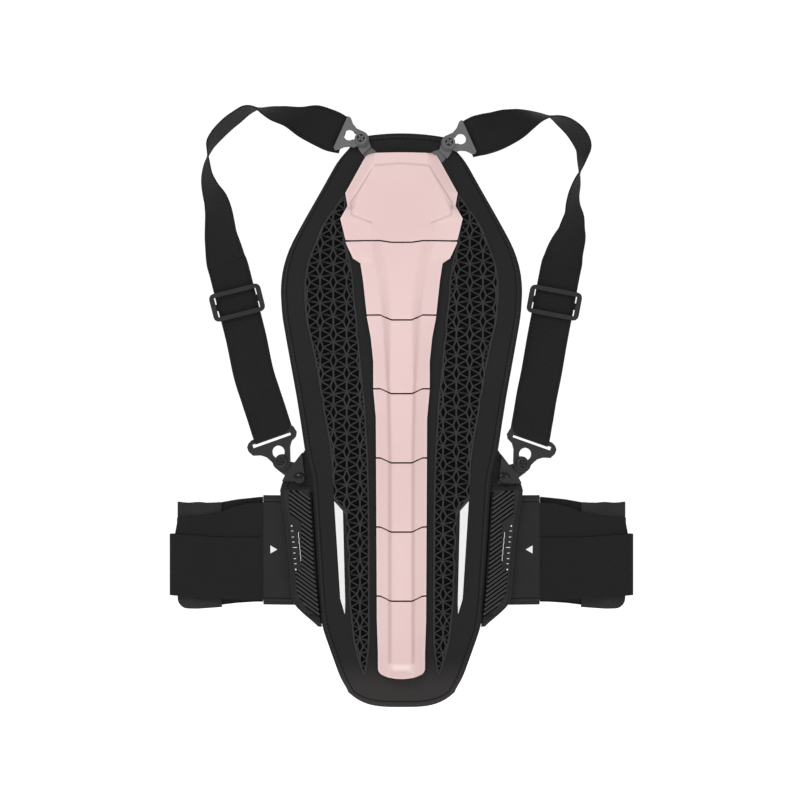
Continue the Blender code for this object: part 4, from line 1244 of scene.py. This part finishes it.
# shoulder straps: one route per side, cut where the bodies change
straps = {
    "width": 0.0385, "thick": 0.0014, "step": 0.0030, "ease": 0.0037, "easeLength": 0.012,
    "cuts": (0.315, 0.2345, 0.165, 0.147, 0.131),  # heights where one stretch ends and the next begins
    "bends": ((0.305, 0.275), (0.208, 0.185)),  # heights given for the second and third stretch, which nothing bends
    # x, y, z and the twist in degrees, from the upper hook over the shoulder to the lower hook
    "routeleft": (
        (-0.0535, -0.0196, 0.3905, 0), (-0.0632, -0.0212, 0.3939, 0), (-0.0730, -0.0200, 0.3985, 8),
        (-0.0855, -0.0165, 0.4042, 22), (-0.1016, -0.0125, 0.4095, 52), (-0.1177, -0.0095, 0.4136, 63),
        (-0.1280, -0.0080, 0.4168, 74), (-0.1375, -0.0070, 0.4190, 88), (-0.1469, -0.0062, 0.4168, 98),
        (-0.1564, -0.0058, 0.4101, 102), (-0.1649, -0.0055, 0.4035, 103), (-0.1744, -0.0052, 0.3941, 102),
        (-0.1810, -0.0050, 0.3851, 98), (-0.1833, -0.0050, 0.3771, 90), (-0.1850, -0.0050, 0.3664, 80),
        (-0.1847, -0.0050, 0.3525, 71), (-0.1810, -0.0050, 0.3402, 62), (-0.1767, -0.0050, 0.3308, 53),
        (-0.1739, -0.0050, 0.3204, 47), (-0.1725, -0.0050, 0.3081, 41), (-0.1714, -0.0050, 0.2968, 35),
        (-0.1684, -0.0050, 0.2825, 22), (-0.1660, -0.0050, 0.2722, 10), (-0.1634, -0.0050, 0.2650, 0),
        (-0.1555, -0.0050, 0.2339, 0), (-0.1472, -0.0050, 0.2011, 0), (-0.1403, -0.0050, 0.1682, 0),
        (-0.1332, -0.0052, 0.1455, 0), (-0.1280, -0.0066, 0.1300, 0), (-0.1238, -0.0086, 0.1170, 0),
        (-0.1214, -0.0090, 0.1098, 0), (-0.1204, -0.0080, 0.1068, 0), (-0.12013, -0.0045, 0.1060, 0),
        (-0.12006, -0.0012, 0.1058, 0),
    ),
    "routeright": (
        (0.0614, -0.0194, 0.3868, 0), (0.0712, -0.0206, 0.3904, 0), (0.0800, -0.0185, 0.3930, 4),
        (0.0902, -0.0165, 0.3964, 16), (0.1035, -0.0140, 0.4021, 30), (0.1158, -0.0115, 0.4073, 50),
        (0.1280, -0.0095, 0.4105, 70), (0.1413, -0.0080, 0.4110, 86), (0.1521, -0.0070, 0.4063, 100),
        (0.1620, -0.0062, 0.3990, 107), (0.1690, -0.0056, 0.3905, 110), (0.1730, -0.0052, 0.3810, 108),
        (0.1718, -0.0050, 0.3700, 100), (0.1701, -0.0050, 0.3591, 90), (0.1672, -0.0050, 0.3480, 79),
        (0.1640, -0.0050, 0.3360, 73), (0.1633, -0.0050, 0.3260, 67), (0.1642, -0.0050, 0.3160, 59),
        (0.1625, -0.0050, 0.3050, 50), (0.1610, -0.0050, 0.2968, 41), (0.1555, -0.0050, 0.2825, 25),
        (0.1527, -0.0050, 0.2722, 11), (0.1505, -0.0050, 0.2650, 0), (0.1446, -0.0050, 0.2339, 0),
        (0.1383, -0.0050, 0.2011, 0), (0.1326, -0.0050, 0.1682, 0), (0.1280, -0.0052, 0.1455, 0),
        (0.1252, -0.0068, 0.1290, 0), (0.1228, -0.0088, 0.1160, 0), (0.1214, -0.0090, 0.1076, 0),
        (0.1204, -0.0080, 0.1046, 0), (0.12013, -0.0045, 0.1038, 0), (0.12006, -0.0012, 0.1036, 0),
    ),
}


# even curve through the points of a route
def smoothRoute(points, step):
    route = [Vector(p) for p in points]
    ends = [route[0] * 2 - route[1]] + route + [route[-1] * 2 - route[-2]]
    samples = []
    for p0, p1, p2, p3 in zip(ends, ends[1:], ends[2:], ends[3:]):
        pieces = max(1, round((p2.xyz - p1.xyz).length / step))
        for i in range(pieces):
            t = i / pieces
            samples.append(0.5 * (2 * p1 + (p2 - p0) * t + (2 * p0 - 5 * p1 + 4 * p2 - p3) * t ** 2
                                  + (3 * p1 - p0 - 3 * p2 + p3) * t ** 3))
    samples.append(route[-1])
    return samples


# centre, width direction and running length at every sample
def ribbonFrames(samples, side):
    frames, run = [], 0.0
    for i, sample in enumerate(samples):
        before, after = samples[max(i - 1, 0)].xyz, samples[min(i + 1, len(samples) - 1)].xyz
        tangent = (after - before).normalized()
        face = Vector((0, -1, 0))
        face = (face - tangent * face.dot(tangent)).normalized()
        turn = Matrix.Rotation(math.radians(sample[3] * -side), 3, tangent)
        across = turn @ tangent.cross(face)
        if i:
            run += (sample.xyz - samples[i - 1].xyz).length
        frames.append((sample.xyz.copy(), across, run))
    return frames


# webbing along a run of frames, with its own map in metres; narrow eases its first end
def ribbon(name, frames, cadNode, narrow=False):
    rows = len(frames) - 1
    bm = bmesh.new()
    offset = bm.verts.layers.float.new("offset")
    travel = bm.verts.layers.float.new("travel")
    for v in bmesh.ops.create_grid(bm, x_segments=10, y_segments=rows, size=0.5)["verts"]:
        centre, across, run = frames[round((v.co.y + 0.5) * rows)]
        width = straps["width"]
        if narrow:
            width -= straps["ease"] * max(0, 1 - run / straps["easeLength"])
        v[offset], v[travel] = v.co.x * width, run
        v.co = centre + across * (v.co.x * width)
    chart = bm.loops.layers.uv.new("webbing")
    for f in bm.faces:
        for loop in f.loops:
            loop[chart].uv = (loop.vert[offset], loop.vert[travel])
    bm.normal_update()
    bmesh.ops.solidify(bm, geom=list(bm.faces), thickness=straps["thick"])
    bmesh.ops.recalc_face_normals(bm, faces=bm.faces)
    piece = newPiece(name, bm, finish["webbing"], 50, True)
    if cadNode:
        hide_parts(cadNode)
    return piece


# the route is cut into stretches, each laid along its part of the route
def makeStrap(name, side):
    samples = smoothRoute(straps["route" + name], straps["step"])
    frames = ribbonFrames(samples, side)
    bendTop, bendMiddle = straps["bends"]
    arch = max(range(len(frames)), key=lambda i: frames[i][0].z)

    def cutAt(z):
        return min(range(arch, len(frames)), key=lambda i: abs(frames[i][0].z - z))

    def stretch(label, first, last, cadNode, bend):
        piece = ribbon(f"{label}_{name}", frames[first:last + 1], cadNode, first == 0)
        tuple(frames[bend[0]][0])
        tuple(frames[bend[1]][0])
        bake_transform(piece)

    top, middle, low, lower, hook = (cutAt(z) for z in straps["cuts"])
    stretch("strapArch", 0, top, f"upper_webbing_{name}", (1, 6))
    stretch("strapTop", top, middle, f"middle_webbing_{name}",
            [cutAt(z) for z in bendTop])
    stretch("strapMiddle", middle, low, f"lower_webbing_{name}",
            [cutAt(z) for z in bendMiddle])
    stretch("strapLow", low, lower, None, (low + 1, lower - 1))
    stretch("strapLower", lower, hook, None, (lower + 1, hook - 1))
    stretch("strapHook", hook, len(frames) - 1, None, (hook + 1, hook + 6))


print("straps")
for name, side in sides:
    makeStrap(name, side)


# finishes of the hard parts
nodeLooks = {
    "hinge_pin": "steel", "shoulder_": "grey", "upper_hook": "grey", "wing_panel": "panel", "hook_ear": "black",
    "waist_stud": "black", "lower_hook": "black", "strap_slider": "black", "wing_rivet": "black",
}
print("hard parts")
for name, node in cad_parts.items():
    for start, look in nodeLooks.items():
        if name.startswith(start):
            node.data.materials.clear()
            node.data.materials.append(finish[look])


# heads of the studs and rivets
studs = {
    "shoulder_stud": ("segment_1", "grey", "grey_plastic"), "waist_stud": ("segment_5", "black", "black_plastic"),
    "radius": 0.0050, "rim": 0.0005, "sink": 0.0001, "recessLift": 0.00022, "crossLift": 0.00045,
}
rivets = {"radius": 0.0054, "rise": 0.42, "sink": 0.0010}
feet = {
    "left": ((0.0373, 0.3778), (0.0298, 0.3806), (0.0205, 0.3722), (0.0300, 0.3615), (0.0346, 0.3690)),
    "right": ((0.0440, 0.3728), (0.0362, 0.3778), (0.0205, 0.3722), (0.0300, 0.3610), (0.0388, 0.3655)),
}


# middle of a round node's outer face, and the way it faces
def topOf(node):
    low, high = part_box(node)
    middle = (Vector(low) + Vector(high)) / 2
    slope = (spineOffset(middle.z + 0.002) - spineOffset(middle.z - 0.002)) / 0.004
    facing = Vector((middle.x / back["wrapRadius"], -1, slope)).normalized()
    reach = max((v.co - middle).dot(facing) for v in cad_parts[node].data.vertices)
    return middle + facing * reach, facing


def turnTo(place, facing):
    return Matrix.Translation(place) @ facing.to_track_quat("Z", "Y").to_matrix().to_4x4()


def makeStudFace(kind, side):
    body, look, slot = studs[kind]
    radius = studs["radius"]
    place, facing = topOf(f"{kind}_{side}")
    turn = turnTo(place - facing * studs["sink"], facing)
    rim = bmesh.new()
    bmesh.ops.create_circle(rim, cap_ends=True, segments=32, radius=radius, matrix=turn)
    lifted = bmesh.ops.extrude_face_region(rim, geom=rim.faces[:])["geom"]
    bmesh.ops.translate(rim, vec=facing * studs["rim"], verts=onlyVerts(lifted))
    rim.faces.ensure_lookup_table()
    lid = max(rim.faces, key=lambda f: f.calc_center_median().dot(facing))
    bmesh.ops.inset_region(rim, faces=[lid], thickness=radius * 0.2, depth=-0.0004)
    recess = bmesh.new()
    bmesh.ops.create_cone(recess, cap_ends=True, segments=28, radius1=radius * 0.74, radius2=radius * 0.74,
                          depth=0.0002, matrix=turn @ Matrix.Translation((0, 0, studs["recessLift"])))
    cross = bmesh.new()
    for angle in (35, 125):
        bmesh.ops.create_cube(cross, size=1.0, matrix=turn @ Matrix.Translation((0, 0, studs["crossLift"]))
                              @ Matrix.Rotation(math.radians(angle), 4, "Z")
                              @ Matrix.Diagonal((radius * 1.25, radius * 0.34, 0.0004, 1)))
    for label, bm, shade, part in (("Rim", rim, look, slot), ("Recess", recess, "recess", "black_plastic"),
                                   ("Cross", cross, look, slot)):
        fasten(newPiece(f"{kind}{label}_{side}", bm, finish[shade], 35), body, part)


def makeRivet(name):
    place, facing = topOf(f"wing_rivet_{name}")
    turn = turnTo(place - facing * rivets["sink"], facing) @ Matrix.Diagonal((1, 1, rivets["rise"], 1))
    bm = bmesh.new()
    bmesh.ops.create_uvsphere(bm, u_segments=28, v_segments=16, radius=rivets["radius"], matrix=turn)
    piece = newPiece(f"rivetDome_{name}", bm, finish["gloss"], 60)
    fasten(piece, "segment_5", "black_plastic")


# grey strip from the shoulder stud to beneath the corner of the top plate
def makeBracketFoot(name, side):
    bm = flatPrint(feet[name], side, backing["heights"][1] + 0.00005)
    drape(bm)
    piece = newPiece(f"bracketFoot_{name}", bm, finish["grey"])
    fasten(piece, "segment_1", "grey_plastic")


print("stud faces")
for name, side in sides:
    for kind in ("shoulder_stud", "waist_stud"):
        makeStudFace(kind, name)
    makeRivet(name)
    makeBracketFoot(name, side)


# floor, light and camera
stageSet = {
    "floorDrop": 0.06, "floorRadius": 6.0, "floorGlow": 0.55, "sky": 0.55, "backdrop": 1.05,
    "target": (0, 0, 0.12),
    "lamps": {  # power, size and place
        "key": (26.0, 1.2, (-1.3, -2.0, 1.9)), "fill": (9.0, 1.6, (1.9, -1.8, 0.6)),
        "rear": (10.0, 1.4, (0.4, 2.3, 1.4)),
    },
}
view = {"centre": (-0.0014, -0.010, 0.1418), "distance": 3.0, "frame": 0.756}


def makeStage():
    low = Vector(cadBox[0])
    bm = bmesh.new()
    bmesh.ops.create_circle(bm, cap_ends=True, segments=96, radius=stageSet["floorRadius"],
                            matrix=Matrix.Translation((0, 0, low.z - stageSet["floorDrop"])))
    paint = Paint("paleFloor", 0.9, specular=0.1)
    paint.colour(paint.blend(paint.noise(2.0), (0.93, 0.93, 0.93), (0.95, 0.95, 0.95)))
    paint.shader.inputs["Emission Color"].default_value = (1, 1, 1, 1)
    paint.shader.inputs["Emission Strength"].default_value = stageSet["floorGlow"]
    floor = newPiece("floor", bm, paint.material)
    world = bpy.data.worlds.new("studio")
    bpy.context.scene.world = world
    world.use_nodes = True
    tree = world.node_tree
    sky = tree.nodes["Background"]
    sky.inputs["Strength"].default_value = stageSet["sky"]
    white = tree.nodes.new("ShaderNodeBackground")
    white.inputs["Color"].default_value = (1, 1, 1, 1)
    white.inputs["Strength"].default_value = stageSet["backdrop"]
    sky.inputs["Color"].default_value = (1, 1, 1, 1)
    mix = tree.nodes.new("ShaderNodeMixShader")
    rays = tree.nodes.new("ShaderNodeLightPath")
    tree.links.new(rays.outputs["Is Camera Ray"], mix.inputs[0])
    tree.links.new(sky.outputs[0], mix.inputs[1])
    tree.links.new(white.outputs[0], mix.inputs[2])
    tree.links.new(mix.outputs[0], tree.nodes["World Output"].inputs["Surface"])


def makeLamp(name, power, size, place):
    lamp = bpy.data.lights.new(name, "AREA")
    lamp.energy = power
    lamp.size = size
    piece = bpy.data.objects.new(name, lamp)
    piece.location = place
    piece.rotation_euler = (Vector(stageSet["target"]) - Vector(place)).to_track_quat("-Z", "Y").to_euler()
    bpy.context.scene.collection.objects.link(piece)


def makeCamera():
    camera = bpy.data.cameras.new("camera")
    camera.sensor_width = 36.0
    camera.lens = 36.0 * view["distance"] / view["frame"]
    camera.clip_end = 60
    piece = bpy.data.objects.new("camera", camera)
    x, y, z = view["centre"]
    piece.location = (x, y - view["distance"], z)
    piece.rotation_euler = (math.pi / 2, 0, 0)
    bpy.context.scene.collection.objects.link(piece)
    bpy.context.scene.camera = piece


print("stage")
makeStage()
for name, settings in stageSet["lamps"].items():
    makeLamp(name, *settings)
makeCamera()
bpy.context.scene.view_settings.view_transform = "Standard"
